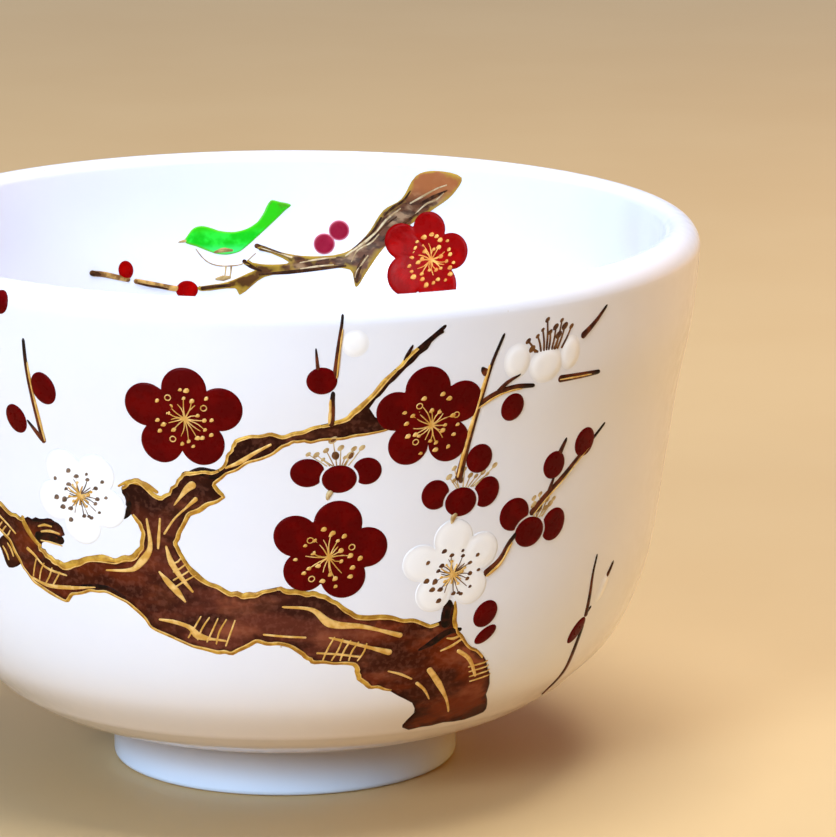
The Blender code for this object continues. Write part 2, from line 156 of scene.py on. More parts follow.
# Twigs: the width at the root and at the tip, the route from root to tip, the side that its gold line
# runs on (-1 left edge to 1 right edge, 0 no gold), and how wide the gold is as a share of the twig
TWIGS = {
    "twig_upper": (0.85, 0.5, [(6.7, 68.3), (6.9, 70.4), (7.2, 73.4), (7.7, 77.3)], 1, 0.5),
    "twig_upper_root": (0.95, 0.75, [(6.3, 61.6), (6.4, 63.6), (6.4, 65.2), (6.5, 66.6)], -1, 0.55),
    "twig_right_tall": (1.2, 0.6, [(24.8, 52.4), (26.4, 60.6), (27.5, 65.6), (28.5, 69.2), (30.1, 73.0)], -1, 0.6),
    "twig_right_short": (0.95, 0.8, [(26.4, 62.9), (29.4, 64.5), (32.5, 65.1), (35.6, 64.9)], 1, 0.4),
    "twig_lip_right": (1.15, 0.6, [(43.2, 70.6), (45.6, 72.3), (48.0, 74.5)], 0, 0),
    "twig_side_level": (1.1, 0.85, [(39.6, 65.2), (43.5, 65.1), (47.8, 65.0)], 0.1, 0.3),
    "twig_side_upper": (1.1, 0.6, [(37.6, 45.8), (40.0, 48.0), (42.9, 50.2), (46.0, 52.8), (51.2, 57.0)], 1, 0.3),
    "twig_side_lower": (1.3, 0.8, [(30.3, 38.0), (32.8, 39.8), (34.3, 42.2), (35.8, 43.8)], 1, 0.55),
    "twig_left": (0.95, 0.7, [(-34.8, 57.0), (-35.2, 60.0), (-35.7, 64.3), (-36.1, 68.6), (-36.2, 71.9)], 1, 0.4),
    "twig_far_right_top": (0.9, 0.5, [(54.4, 27.7), (53.9, 31.3), (53.6, 34.4), (54.0, 37.2)], 0, 0),
    "twig_far_right_root": (0.6, 0.9, [(58.8, 14.2), (56.4, 18.5), (54.9, 22.6), (54.4, 26.5)], 0, 0),
    "twig_far_left": (1.0, 0.6, [(-52.5, 53.4), (-49.0, 57.8), (-45.0, 60.8), (-41.6, 63.7)], -1, 0.5),
    "twig_back": (0.9, 0.5, [(-77.5, 59.6), (-76.4, 64.5), (-76.6, 69.0), (-78.0, 73.5)], 1, 0.5),
}
# Short side shoots, as (piece that they belong to, width, route from root to tip)
SHOOTS = [
    ("twig_upper_root", 0.55, [(4.5, 69.6), (4.35, 71.0), (4.2, 72.7)]),
    ("twig_right_tall", 1.3, [(27.9, 67.4), (27.2, 68.1), (26.9, 68.6)]),
    ("twig_right_short", 0.75, [(29.5, 64.6), (31.0, 65.9), (33.1, 66.9)]),
    ("twig_side_upper", 1.0, [(41.9, 53.7), (42.4, 54.8), (43.1, 56.2)]),
    ("twig_side_upper", 0.7, [(40.7, 48.7), (41.1, 49.8), (41.5, 51.0)]),
    ("twig_left", 0.85, [(-34.9, 57.3), (-35.8, 58.4), (-37.2, 60.1)]),
    ("twig_far_right_top", 0.6, [(53.9, 28.2), (54.6, 28.6), (55.3, 29.2)]),
    ("twig_far_right_top", 0.8, [(58.1, 33.0), (58.7, 33.8), (59.5, 35.1)]),
    ("twig_back", 0.6, [(-76.5, 63.9), (-79.5, 65.6), (-83.2, 64.6)]),
    ("twig_far_left", 0.6, [(-46.2, 60.1), (-46.9, 62.0), (-47.1, 64.2)]),
]

# The old trunk, clockwise from its left end: top edge, rising limb, shoulder, thick end, underside.
# A small shoot on the limb and the cut stub at the left come after them
TRUNK_TOP = [
    (-95.0, 60.6), (-84.0, 60.3), (-74.0, 58.4), (-64.0, 55.7), (-54.5, 52.2), (-48.5, 49.3), (-43.2, 46.2),
    (-40.2, 45.5), (-37.2, 45.7), (-34.5, 45.8), (-33.0, 43.9), (-36.2, 42.6), (-37.6, 41.9), (-35.8, 40.5),
    (-33.0, 39.8), (-29.2, 41.3), (-23.4, 41.7), (-21.0, 43.6), (-20.7, 46.2), (-22.0, 47.9),
]
LIMB_LEFT = [
    (-22.6, 50.0), (-23.0, 52.0), (-20.6, 53.2), (-17.2, 51.2), (-15.2, 53.0), (-13.2, 55.0), (-8.9, 55.3),
    (-7.2, 58.3), (-6.2, 59.6), (-2.4, 60.8), (0.0, 60.5), (5.0, 61.9), (8.4, 63.0), (10.8, 65.0),
    (14.6, 69.4), (17.6, 72.2), (21.3, 74.8),
]
LIMB_RIGHT = [
    (18.9, 71.9), (15.3, 68.5), (12.6, 65.8), (11.5, 63.4), (14.6, 61.0), (9.5, 59.9), (3.5, 59.3), (0.6, 59.0),
    (-1.8, 57.6), (-7.8, 54.6), (-9.4, 53.2), (-8.2, 51.3), (-13.0, 48.4), (-15.0, 45.0), (-14.6, 42.6),
    (-12.8, 40.5),
]
TRUNK_SHOULDER = [
    (-8.4, 38.0), (-5.2, 37.5), (-1.2, 38.4), (1.4, 38.0), (5.2, 37.4), (7.6, 36.0), (10.6, 34.1), (17.8, 33.1),
    (23.4, 31.8), (24.2, 33.9), (25.4, 34.6), (26.4, 31.0), (29.0, 28.1), (32.4, 25.6),
]
TRUNK_END = [(34.8, 22.4), (36.4, 18.8), (40.0, 14.7), (31.0, 14.1), (22.2, 14.3), (22.6, 18.2)]
TRUNK_UNDERSIDE = [
    (17.0, 21.6), (12.4, 23.1), (11.2, 24.7), (10.6, 26.5), (4.2, 27.0), (2.2, 28.7), (-4.1, 30.1), (-8.0, 28.4),
    (-12.0, 28.8), (-19.2, 31.1), (-22.8, 34.4), (-27.0, 36.2), (-31.8, 35.4), (-34.4, 33.9), (-39.8, 36.0),
    (-42.2, 38.8), (-44.6, 42.2), (-54.5, 48.0), (-64.0, 52.6), (-74.0, 56.0), (-84.0, 58.8),
]
LIMB_SHOOT = [(15.9, 70.0), (16.3, 71.2), (17.0, 72.6)]
TRUNK_STUB = [(-46.3, 41.0), (-44.4, 42.2), (-41.6, 39.0), (-44.7, 37.4), (-45.8, 39.7)]
TRUNK_CORNERS = TRUNK_TOP + LIMB_LEFT + LIMB_RIGHT + TRUNK_SHOULDER + TRUNK_END + TRUNK_UNDERSIDE
RAGGED = 0.2         # how far the brush strays from the trunk's outline
# Where gold runs along the trunk's outline, as its first and last corner and its widest
GOLD_RUNS = [
    (TRUNK_TOP[1], TRUNK_TOP[7], 0.8), (TRUNK_TOP[12], TRUNK_TOP[-1], 1.1), (LIMB_LEFT[1], LIMB_LEFT[6], 0.7),
    (LIMB_LEFT[6], LIMB_LEFT[11], 0.5), (LIMB_LEFT[11], LIMB_LEFT[14], 0.85), (LIMB_LEFT[14], LIMB_LEFT[-2], 0.55),
    (LIMB_RIGHT[4], LIMB_RIGHT[11], 0.5), (LIMB_RIGHT[11], TRUNK_SHOULDER[2], 0.9),
    (TRUNK_SHOULDER[2], TRUNK_SHOULDER[8], 0.75), (TRUNK_SHOULDER[11], TRUNK_SHOULDER[-1], 0.6),
    (TRUNK_UNDERSIDE[0], TRUNK_UNDERSIDE[-1], 0.75),
]
# Gold lines that join two runs: widths along the line, then its route
GOLD_BRIDGES = [
    ([0.6, 0.9, 0.7, 0.6], [(-40.6, 45.7), (-39.9, 44.2), (-38.9, 42.8), (-37.5, 41.6)]),
    ([0.7, 0.8, 0.6, 0.3], [(26.5, 30.6), (26.0, 31.8), (26.0, 33.2), (25.8, 34.8)]),
    ([0.3, 0.6, 0.8, 0.5], [(-23.6, 52.0), (-21.6, 52.9), (-19.4, 52.6), (-17.6, 51.5)]),
]
# Dark cut stubs and knots on the trunk: widths along the stroke, then its route
DARK_STROKES = [
    ([0.4, 0.5, 0.4], [(-38.6, 45.4), (-36.6, 45.5), (-34.6, 45.3)]),
    ([1.4, 1.6, 1.3], [(-38.4, 43.1), (-35.6, 43.2), (-33.2, 43.0)]),
    ([1.6, 1.3, 1.25], [(24.7, 31.0), (24.4, 32.9), (24.9, 35.1)]),
    ([0.5, 1.0, 0.7, 0.3], [(-23.2, 47.4), (-22.3, 48.3), (-22.0, 49.6), (-22.3, 51.2)]),
    ([0.4, 1.2, 1.5, 0.6], [(-13.6, 54.4), (-11.4, 55.0), (-9.3, 54.6), (-7.6, 55.4)]),
    ([0.9, 0.8, 0.5], [(16.0, 70.4), (18.2, 72.2), (21.5, 75.0)]),
    ([0.3, 1.1, 1.0, 0.5], [(20.5, 28.0), (22.5, 28.9), (25.0, 30.3), (27.5, 30.4)]),
    ([0.3, 0.6, 0.6, 0.3], [(-33.5, 36.3), (-29.8, 36.9), (-26.4, 37.0), (-23.6, 35.8)]),
]

# Gold bark strokes on the trunk: widths along the stroke, then its route
BARK_STROKES = [
    ([0.3, 0.5, 1.3, 0.8, 0.5, 0.8], [(-0.4, 35.6), (4.0, 35.1), (6.7, 33.0), (11.6, 32.3), (17.7, 30.5)]),
    ([0.3, 0.35, 0.3], [(-3.2, 31.5), (0.0, 31.2), (3.2, 31.0)]),
    ([0.3, 0.5, 0.5, 1.0], [(6.5, 30.9), (8.7, 30.3), (13.7, 28.8), (16.3, 28.0)]),
    ([0.3, 0.35, 0.3], [(4.7, 28.6), (8.0, 28.3), (11.6, 27.7)]),
    ([0.25, 0.4, 0.25], [(16.0, 25.2), (18.2, 24.5), (20.3, 23.5)]),
    ([0.8, 0.9, 0.4, 0.25], [(22.7, 25.0), (24.1, 23.5), (27.0, 20.2), (30.0, 16.6)]),
    ([0.5, 0.4, 0.2], [(21.1, 22.9), (22.9, 21.5), (24.4, 19.7)]),
    ([0.25, 0.45, 0.3], [(24.2, 27.5), (26.1, 28.1), (27.9, 29.1)]),
    ([0.25, 0.45, 0.3], [(25.0, 29.4), (26.2, 29.2), (27.4, 29.6)]),
    ([0.6, 0.6, 0.4], [(27.2, 27.3), (29.7, 25.6), (31.9, 22.5)]),
    ([0.3, 0.6, 0.6, 1.2, 0.4, 0.3], [(-18.7, 33.1), (-16.4, 32.9), (-14.0, 32.2), (-12.8, 31.0), (-8.6, 30.4)]),
    ([0.25, 0.9, 1.0, 0.25], [(-18.2, 40.2), (-16.6, 38.4), (-15.6, 37.4), (-14.4, 35.9)]),
    ([0.3, 0.9, 0.7, 0.3], [(-16.9, 44.0), (-16.3, 41.8), (-15.2, 39.9), (-13.2, 37.4)]),
    ([0.25, 0.5, 1.1, 0.6, 0.3], [(-26.5, 39.6), (-22.3, 40.1), (-20.9, 41.2), (-19.3, 43.5), (-19.5, 47.8)]),
    ([0.3, 0.35, 0.5, 0.3], [(-17.5, 48.0), (-17.7, 46.5), (-17.9, 45.0), (-18.1, 43.4)]),
    ([1.3, 0.9, 0.4, 0.25], [(-12.2, 53.3), (-13.3, 52.5), (-14.3, 51.3), (-15.4, 49.9)]),
    ([0.7, 0.3, 0.3, 0.3], [(-12.0, 51.2), (-13.4, 49.9), (-15.4, 48.0), (-17.1, 45.6)]),
    ([0.6, 0.3, 0.4, 0.25], [(-40.3, 41.1), (-39.0, 40.3), (-37.0, 38.7), (-33.2, 38.0)]),
    ([0.3, 0.6, 0.6, 0.2], [(-40.2, 36.9), (-37.2, 36.1), (-33.8, 36.2), (-28.4, 36.9)]),
    ([0.4, 0.3, 0.3], [(-45.6, 45.3), (-43.9, 44.2), (-42.1, 42.8)]),
    ([0.3, 0.7, 0.5, 0.35], [(-8.0, 55.6), (-6.0, 56.5), (-3.9, 57.9), (-1.6, 59.2)]),
    ([0.25, 0.4, 0.25], [(-37.6, 44.6), (-36.3, 45.0), (-35.0, 44.9)]),
    ([0.25, 0.45, 0.25], [(-37.2, 43.9), (-35.6, 44.2), (-33.7, 44.0)]),
    ([0.25, 0.35, 0.2], [(-37.4, 42.6), (-35.8, 42.5), (-33.6, 42.2)]),
    ([0.25, 0.4, 0.25], [(-45.3, 40.6), (-44.6, 39.6), (-44.3, 38.6)]),
    ([0.25, 0.4, 0.25], [(-44.2, 41.2), (-43.6, 40.4), (-43.2, 39.3)]),
    ([0.3, 0.6, 0.3], [(-60.0, 52.9), (-55.0, 51.1), (-50.5, 48.2)]),
    ([0.25, 0.5, 0.3], [(-72.0, 57.3), (-66.5, 55.4), (-62.0, 53.9)]),
]
# Hatching: the first rung's two ends, the last rung's two ends, how many rungs
BARK_LADDERS = [
    ((7.4, 31.0), (5.7, 27.4), (12.3, 29.8), (11.0, 27.1), 5),
    ((-12.2, 34.0), (-14.4, 30.6), (-7.2, 33.6), (-8.8, 29.6), 5),
    ((-14.7, 42.4), (-16.0, 41.4), (-12.6, 40.0), (-16.2, 37.8), 4),
    ((-38.6, 39.8), (-39.6, 37.0), (-34.4, 38.4), (-36.2, 36.0), 4),
    ((-45.4, 44.7), (-46.8, 43.0), (-43.2, 43.2), (-44.4, 42.0), 4),
    ((33.6, 24.7), (29.9, 24.3), (35.0, 22.4), (31.0, 21.8), 4),
]

# Stamens that show above a nodding flower: the middle petal's top, then each anther as (angle, height, size)
NODDING_STAMENS = [
    ((7.6, 55.8), [(3.3, 57.6, 0.7), (4.4, 57.5, 0.85), (5.7, 58.1, 0.8), (7.7, 58.4, 0.9), (6.6, 59.6, 1.2),
                   (9.0, 57.3, 1.1), (9.5, 58.2, 0.8), (10.6, 58.3, 0.85), (5.3, 56.8, 0.6), (8.3, 57.0, 0.6)]),
    ((25.6, 51.3), [(23.4, 53.1, 0.9), (24.1, 54.3, 0.75), (24.2, 52.5, 0.7), (26.7, 53.0, 0.8), (27.6, 52.8, 0.65),
                    (28.7, 53.2, 0.8), (30.5, 54.0, 0.85), (29.4, 52.9, 0.6), (25.7, 54.0, 0.7)]),
    ((38.6, 45.2), [(38.0, 48.2, 0.8), (39.1, 48.6, 0.75), (38.1, 47.2, 1.0), (40.6, 47.6, 0.9), (41.3, 46.9, 1.0),
                    (41.9, 47.5, 0.75), (40.4, 46.4, 0.8), (39.4, 46.3, 0.7)]),
]
# Brown touches among them: widths along the stroke, then its route
NODDING_CORES = [
    ([0.7, 1.1, 0.7], [(7.1, 56.7), (7.0, 57.3), (6.8, 57.9)]),
    ([0.3, 0.6, 0.4], [(6.3, 59.3), (6.6, 59.6), (7.0, 59.8)]),
    ([0.4, 0.7, 0.4], [(8.8, 56.8), (9.1, 57.2), (9.3, 57.7)]),
    ([0.5, 0.8, 0.5], [(25.3, 52.0), (25.2, 52.6), (25.0, 53.2)]),
    ([0.5, 0.8, 0.5], [(38.8, 46.1), (39.2, 46.6), (39.7, 47.0)]),
]
# Stamens behind the white half blossom: where they fan out from, then each anther as (angle, height, size)
WHITE_FAN = (37.2, 69.6)
WHITE_STAMENS = [
    (33.9, 71.4, 0.65), (34.6, 70.2, 0.8), (35.4, 71.9, 0.5), (36.2, 72.7, 0.45), (36.9, 74.0, 0.6),
    (37.5, 72.2, 0.6), (38.4, 72.8, 0.75), (39.0, 71.6, 0.85), (39.4, 73.6, 0.5), (40.0, 72.7, 0.85),
    (41.2, 72.5, 0.6),
]
# Stamens of the open blossoms: how many filaments, their reach and width, the anthers' sizes; then how many
# loose drops lie round them, how far out, their sizes, and how many are open rings
RED_STAMENS = dict(filaments=16, reach=3.3, thread=0.16, heads=(0.5, 0.8),
                   dots=14, dot_reach=4.15, dot_sizes=(0.5, 0.75), rings=3)
PALE_STAMENS = dict(filaments=16, reach=3.1, thread=0.15, heads=(0.5, 0.85),
                    dots=10, dot_reach=4.0, dot_sizes=(0.45, 0.85))
HEART_STAMENS = dict(filaments=12, reach=2.2, thread=0.2, heads=(0.3, 0.5))
INSIDE_STAMENS = dict(filaments=18, reach=2.7, thread=0.17, heads=(0.5, 0.75),
                      dots=22, dot_reach=3.6, dot_sizes=(0.5, 0.85))
# Where a nodding flower hangs from: the stalk's route
CALYXES = [[(6.6, 52.3), (6.2, 51.8), (5.9, 50.9)], [(24.9, 47.8), (24.5, 47.2), (24.2, 46.2)]]

# The two thin twigs that carry the branch inside on: the width at each end, then the route
INSIDE_TWIGS = {
    "inside_twig_tip": (0.8, 0.9, [(206.0, 60.7), (208.4, 61.3), (210.6, 61.9), (213.0, 62.3)]),
    "inside_twig_middle": (0.9, 0.8, [(196.4, 58.6), (198.6, 58.9), (201.6, 59.6), (205.4, 60.5)]),
}
# The branch inside the bowl, as its upper edge from thin to thick end, then back along its lower edge
BRANCH_UPPER = [
    (194.6, 58.8), (189.4, 59.4), (185.6, 60.7), (184.6, 61.2), (186.4, 62.4),
    (182.8, 61.9), (179.0, 62.2), (184.4, 64.6), (177.2, 63.2), (170.0, 63.7), (166.4, 66.4), (163.6, 70.4),
    (160.6, 72.3), (158.2, 76.0), (155.0, 77.0), (150.2, 76.3),
]
BRANCH_LOWER = [
    (151.8, 73.5), (155.0, 71.1), (158.6, 68.7), (161.8, 66.2), (164.0, 63.8), (166.0, 60.9), (167.7, 58.6),
    (168.8, 61.2), (175.0, 61.0), (183.0, 60.0), (187.2, 57.4), (188.0, 58.4), (193.6, 58.2),
]
# Its pale streaks, and its dark ones: widths along the streak, then its route
BRANCH_STROKES = [
    ([0.2, 0.45, 0.5, 0.35, 0.2], [(169.7, 63.2), (167.3, 64.9), (164.7, 66.9), (163.1, 68.9), (160.6, 70.9)]),
    ([0.15, 0.3, 0.2], [(168.6, 62.4), (167.6, 64.2), (165.3, 65.5), (164.1, 66.8)]),
    ([0.2, 0.35, 0.25, 0.2], [(159.1, 71.7), (157.0, 72.9), (154.5, 74.3), (152.7, 75.0)]),
    ([0.15, 0.3, 0.15], [(158.1, 70.2), (156.3, 71.8), (154.5, 72.6), (153.2, 73.8)]),
    ([0.15, 0.3, 0.15], [(177.1, 61.2), (174.2, 61.6), (171.5, 61.9)]),
    ([0.15, 0.3, 0.15], [(177.2, 62.1), (173.9, 62.7), (171.2, 63.0)]),
    ([0.2, 0.4, 0.2], [(167.9, 60.0), (167.6, 61.0), (166.9, 62.1), (165.8, 63.5)]),
    ([0.3, 0.3, 0.2], [(178.4, 62.9), (180.8, 63.6), (183.6, 64.4)]),
]
BRANCH_DARK = [
    ([0.4, 0.8, 0.9], [(211.2, 61.9), (212.3, 62.2), (213.3, 62.4)]),
    ([0.2, 0.35, 0.35, 0.2], [(199.4, 58.8), (201.0, 59.2), (203.0, 59.6), (204.8, 60.1)]),
    ([0.5, 0.5, 0.6], [(188.6, 58.9), (191.2, 58.8), (193.9, 58.6)]),
    ([0.3, 0.6, 0.7], [(183.4, 60.9), (185.2, 61.6), (186.6, 62.6)]),
    ([0.3, 0.5, 0.8], [(178.4, 62.9), (181.6, 63.9), (184.6, 64.8)]),
    ([0.3, 0.7, 0.4], [(166.4, 63.6), (167.3, 61.4), (167.7, 59.3)]),
    ([0.3, 0.6, 0.5, 0.3], [(184.0, 60.4), (179.0, 60.7), (174.0, 61.2), (169.4, 61.8)]),
    ([0.2, 0.5, 0.3], [(163.6, 65.8), (161.0, 67.9), (157.6, 70.4)]),
    ([0.2, 0.6, 0.3], [(152.6, 74.2), (155.0, 73.0), (157.4, 71.8)]),
    ([0.2, 0.4, 0.4, 0.3], [(168.6, 64.2), (167.0, 65.5), (165.0, 67.4), (163.8, 69.4)]),
    ([0.2, 0.5, 0.4, 0.2], [(163.4, 69.6), (162.0, 70.9), (160.1, 72.2), (159.0, 73.7)]),
    ([0.2, 0.4, 0.2], [(166.4, 64.9), (163.6, 67.8), (161.2, 69.6)]),
]

# The warbler: its back, wing and tail from the beak and round; then the lines drawn with it
BIRD = [
    (196.1, 65.7), (195.6, 66.6), (194.5, 67.7), (193.2, 68.0), (191.8, 67.7), (190.4, 67.2), (188.3, 66.9),
    (186.6, 67.1), (185.2, 67.6), (184.0, 68.4), (183.1, 69.6), (181.9, 71.6), (180.4, 71.4), (178.6, 70.9),
    (179.6, 70.0), (181.0, 68.7), (183.8, 66.3), (186.5, 64.2), (187.7, 63.7), (189.5, 63.5), (191.3, 63.8),
    (194.1, 64.9),
]
BIRD_LINES = [
    ([0.15, 0.2, 0.15], [(194.3, 64.6), (193.4, 63.4), (192.2, 62.4), (190.6, 61.9), (188.5, 61.8), (186.5, 62.1),
                         (184.4, 63.6)]),
    ([0.5, 0.4, 0.15], [(195.8, 65.9), (196.5, 65.8), (197.2, 65.7)]),
    ([0.35, 0.25, 0.2], [(189.4, 61.9), (189.5, 61.0), (189.7, 60.1)]),
    ([0.35, 0.25, 0.2], [(188.5, 61.9), (188.6, 61.0), (188.8, 60.1)]),
    ([0.3, 0.9, 0.4], [(191.3, 59.9), (190.0, 60.0), (188.6, 60.1)]),
    ([0.3, 0.8, 0.3], [(191.3, 63.9), (189.8, 64.2), (188.1, 64.1)]),
]

# The camera, in metres and degrees
CAMERA_PLACE = (0.0, -0.8, 0.2303)
CAMERA_YAW = 1.395
CAMERA_PITCH = -12.728
CAMERA_LENS = 243.5

# Each light's place and size in metres, power in watts and tint; then the world's two tints
KEY_LIGHT = ((-0.65, -1.0, 0.52), 0.4, 14.0, (0.75, 0.87, 1.0))
TOP_LIGHT = ((0.15, -0.05, 1.1), 0.6, 15.2, (1.0, 0.96, 0.92))
WARM_LIGHT = ((0.68, 0.44, 0.14), 0.4, 2.9, (1.0, 0.42, 0.02))
WORLD_COOL = (0.52, 0.67, 1.0, 1)
WORLD_WARM = (0.42, 0.21, 0.02, 1)
WARM_FROM, WARM_TO = 0.3, 0.7    # how far to the right the world turns from cool to warm
WORLD_STRENGTH = 0.4
FLOOR_REACH = 4.0                # half the floor's width, in metres


# ---------------------------------------------------------------- curves and places on the wall

def smooth(points, per_span, closed=False):
    """A soft curve through the points: cubic spans, each point's slope taken from its two neighbours."""
    rows = np.array(points, float)
    if closed:
        rows = np.vstack([rows[-1], rows, rows[:2]])
    else:
        rows = np.vstack([2 * rows[0] - rows[1], rows, 2 * rows[-1] - rows[-2]])
    steps = np.linalg.norm(np.diff(rows, axis=0), axis=1)
    slopes = (rows[2:] - rows[:-2]) / (steps[1:] + steps[:-1])[:, None]
    curve = []
    for i in range(len(slopes) - 1):
        start, end, span = rows[i + 1], rows[i + 2], steps[i + 1]
        for t in np.arange(per_span) / per_span:
            curve.append((2 * t**3 - 3 * t**2 + 1) * start + (t**3 - 2 * t**2 + t) * span * slopes[i]
                         + (3 * t**2 - 2 * t**3) * end + (t**3 - t**2) * span * slopes[i + 1])
    if not closed:
        curve.append(rows[-2])
    return np.array(curve)


def arc(centre, radius, start, end, count):
    angles = np.radians(np.linspace(start, end, count))
    return np.column_stack([centre[0] + radius * np.cos(angles), centre[1] + radius * np.sin(angles)])


LIP_OUTER_ARC = arc((CREST_RADIUS, HEIGHT - LIP_OUTER), LIP_OUTER, 90, 0, 17)
LIP_INNER_ARC = arc((CREST_RADIUS, HEIGHT - LIP_INNER), LIP_INNER, 180, 90, 13)


def wall_table(inside):
    """The wall's radius against height, and the slope of that radius."""
    if inside:
        curve = smooth(INNER_WALL, 24)
    else:
        curve = np.vstack([smooth(OUTER_WALL, 24)[:-1], LIP_OUTER_ARC[:2:-1]])
    return curve[:, 1], curve[:, 0], np.gradient(curve[:, 0], curve[:, 1])


WALL_TABLES = {False: wall_table(False), True: wall_table(True)}


def mm_per_degree(heights, inside):
    rows, radii, _ = WALL_TABLES[inside]
    return np.radians(np.interp(heights, rows, radii))


def on_wall(places, lifts, inside):
    """The points, in metres, that stand lifts off the wall at these places."""
    rows, radii, slopes = WALL_TABLES[inside]
    side = -1 if inside else 1
    tilt = np.arctan(np.interp(places[:, 1], rows, slopes))
    radius = np.interp(places[:, 1], rows, radii) + side * lifts * np.cos(tilt)
    up = places[:, 1] - side * lifts * np.sin(tilt)
    turn = np.radians(places[:, 0])
    return np.column_stack([radius * np.sin(turn), -radius * np.cos(turn), up]) * MM


def shift(place, moves, inside):
    """The places that lie these (right, up) moves away from a place."""
    side = -1 if inside else 1
    right = side * moves[:, 0] / mm_per_degree(place[1], inside)
    return np.column_stack([place[0] + right, place[1] + moves[:, 1]])


def across_curve(curve, inside, travelled=1.0):
    """The move of one millimetre to the curve's right, seen from outside, at each place, as (angle, height)."""
    scale = mm_per_degree(curve[:, 1], inside)
    run = np.column_stack([np.gradient(curve[:, 0], travelled) * scale, np.gradient(curve[:, 1], travelled)])
    run /= np.linalg.norm(run, axis=1)[:, None]
    return np.column_stack([run[:, 1] / scale, -run[:, 0]])


def flatten(places, inside):
    """Places as flat (x, height) points in millimetres, measured round the wall."""
    places = np.asarray(places, float)
    return np.column_stack([places[:, 0] * mm_per_degree(places[:, 1], inside), places[:, 1]])


def edge_distance(points, outline):
    """How far each flat point is from a closed outline."""
    start = outline
    along = np.roll(outline, -1, axis=0) - start
    length = np.maximum((along**2).sum(1), 1e-12)
    gap = points[:, None, :] - start[None]
    t = np.clip((gap * along[None]).sum(2) / length, 0, 1)
    return np.sqrt(((gap - t[:, :, None] * along[None])**2).sum(2).min(1))


def within(points, outline):
    """True where a flat point lies inside a closed outline."""
    start, end = outline, np.roll(outline, -1, axis=0)
    x, y = points[:, 0:1], points[:, 1:2]
    crosses = (start[:, 1] > y) != (end[:, 1] > y)
    rise = np.where(end[:, 1] == start[:, 1], 1.0, end[:, 1] - start[:, 1])
    where = start[:, 0] + (y - start[:, 1]) / rise * (end[:, 0] - start[:, 0])
    return (crosses & (x < where)).sum(1) % 2 == 1


def rounded(share):
    """The height of a rounded edge, from 0 at the edge to 1 where it has levelled off."""
    return np.sqrt(1 - (1 - np.clip(share, 0, 1))**2)


def soft(share):
    """The height of a soft edge, which starts and ends level."""
    share = np.clip(share, 0, 1)
    return share * share * (3 - 2 * share)


def inward(outline, distance):
    """The closed outline moved in by a distance, which may differ from corner to corner."""
    before = outline - np.roll(outline, 1, axis=0)
    after = np.roll(outline, -1, axis=0) - outline
    before /= np.maximum(np.linalg.norm(before, axis=1)[:, None], 1e-9)
    after /= np.maximum(np.linalg.norm(after, axis=1)[:, None], 1e-9)
    run = before + after
    run /= np.maximum(np.linalg.norm(run, axis=1)[:, None], 1e-9)
    x, y = outline[:, 0], outline[:, 1]
    area = (x * np.roll(y, -1) - np.roll(x, -1) * y).sum()
    side = 1 if area > 0 else -1
    return outline + distance * side * np.column_stack([-run[:, 1], run[:, 0]])


def ragged(corners, seed):
    """A soft closed curve through the corners that strays a little to both sides, as a quick brush does."""
    outline = smooth(corners, CURVE_STEPS, True)
    strays = np.random.default_rng(seed).uniform(-RAGGED, RAGGED, (len(outline), 1))
    return inward(outline, strays)


TRUNK_OUTLINE = ragged(TRUNK_CORNERS, seed=5)
STUB_OUTLINE = smooth(TRUNK_STUB, CURVE_STEPS, True)
BRANCH_OUTLINE = smooth(BRANCH_UPPER + BRANCH_LOWER, CURVE_STEPS, True)
BIRD_OUTLINE = smooth(BIRD, CURVE_STEPS, True)


def lift_over(outlines, inside):
    """A function that gives how high the enamel with these outlines stands at any places."""
    flat_outlines = [flatten(outline, inside) for outline in outlines]

    def lift(places):
        points = flatten(places, inside)
        height = np.zeros(len(points))
        for outline in flat_outlines:
            enamel = TRUNK_RISE * rounded(edge_distance(points, outline) / EDGE_WIDTH)
            height = np.maximum(height, np.where(within(points, outline), enamel, 0.0))
        return height
    return lift


over_trunk = lift_over([TRUNK_OUTLINE, STUB_OUTLINE], False)
over_branch = lift_over([BRANCH_OUTLINE], True)
over_bird = lift_over([BIRD_OUTLINE], True)


def over_inside_twigs(places):
    """The branch's own height, and the height of the two thin twigs that carry it on."""
    beyond = (places[:, 0] > BRANCH_LOWER[-1][0]) * TRUNK_RISE
    return np.maximum(over_branch(places), beyond)


def over_glaze(places):
    return np.zeros(len(places))


# ---------------------------------------------------------------- meshes

# A brush stroke's cross-section, in half widths from its middle: how high it stands there as a share of its
# rise, and the two corners that are sunk in the glaze
STROKE_OFFSETS = np.array([-1.0, -0.72, 0.0, 0.72, 1.0])
STROKE_TOPS = np.array([0.0, 0.75, 1.0, 0.75, 0.0])
STROKE_BELOW = np.array([0.9, -0.9])


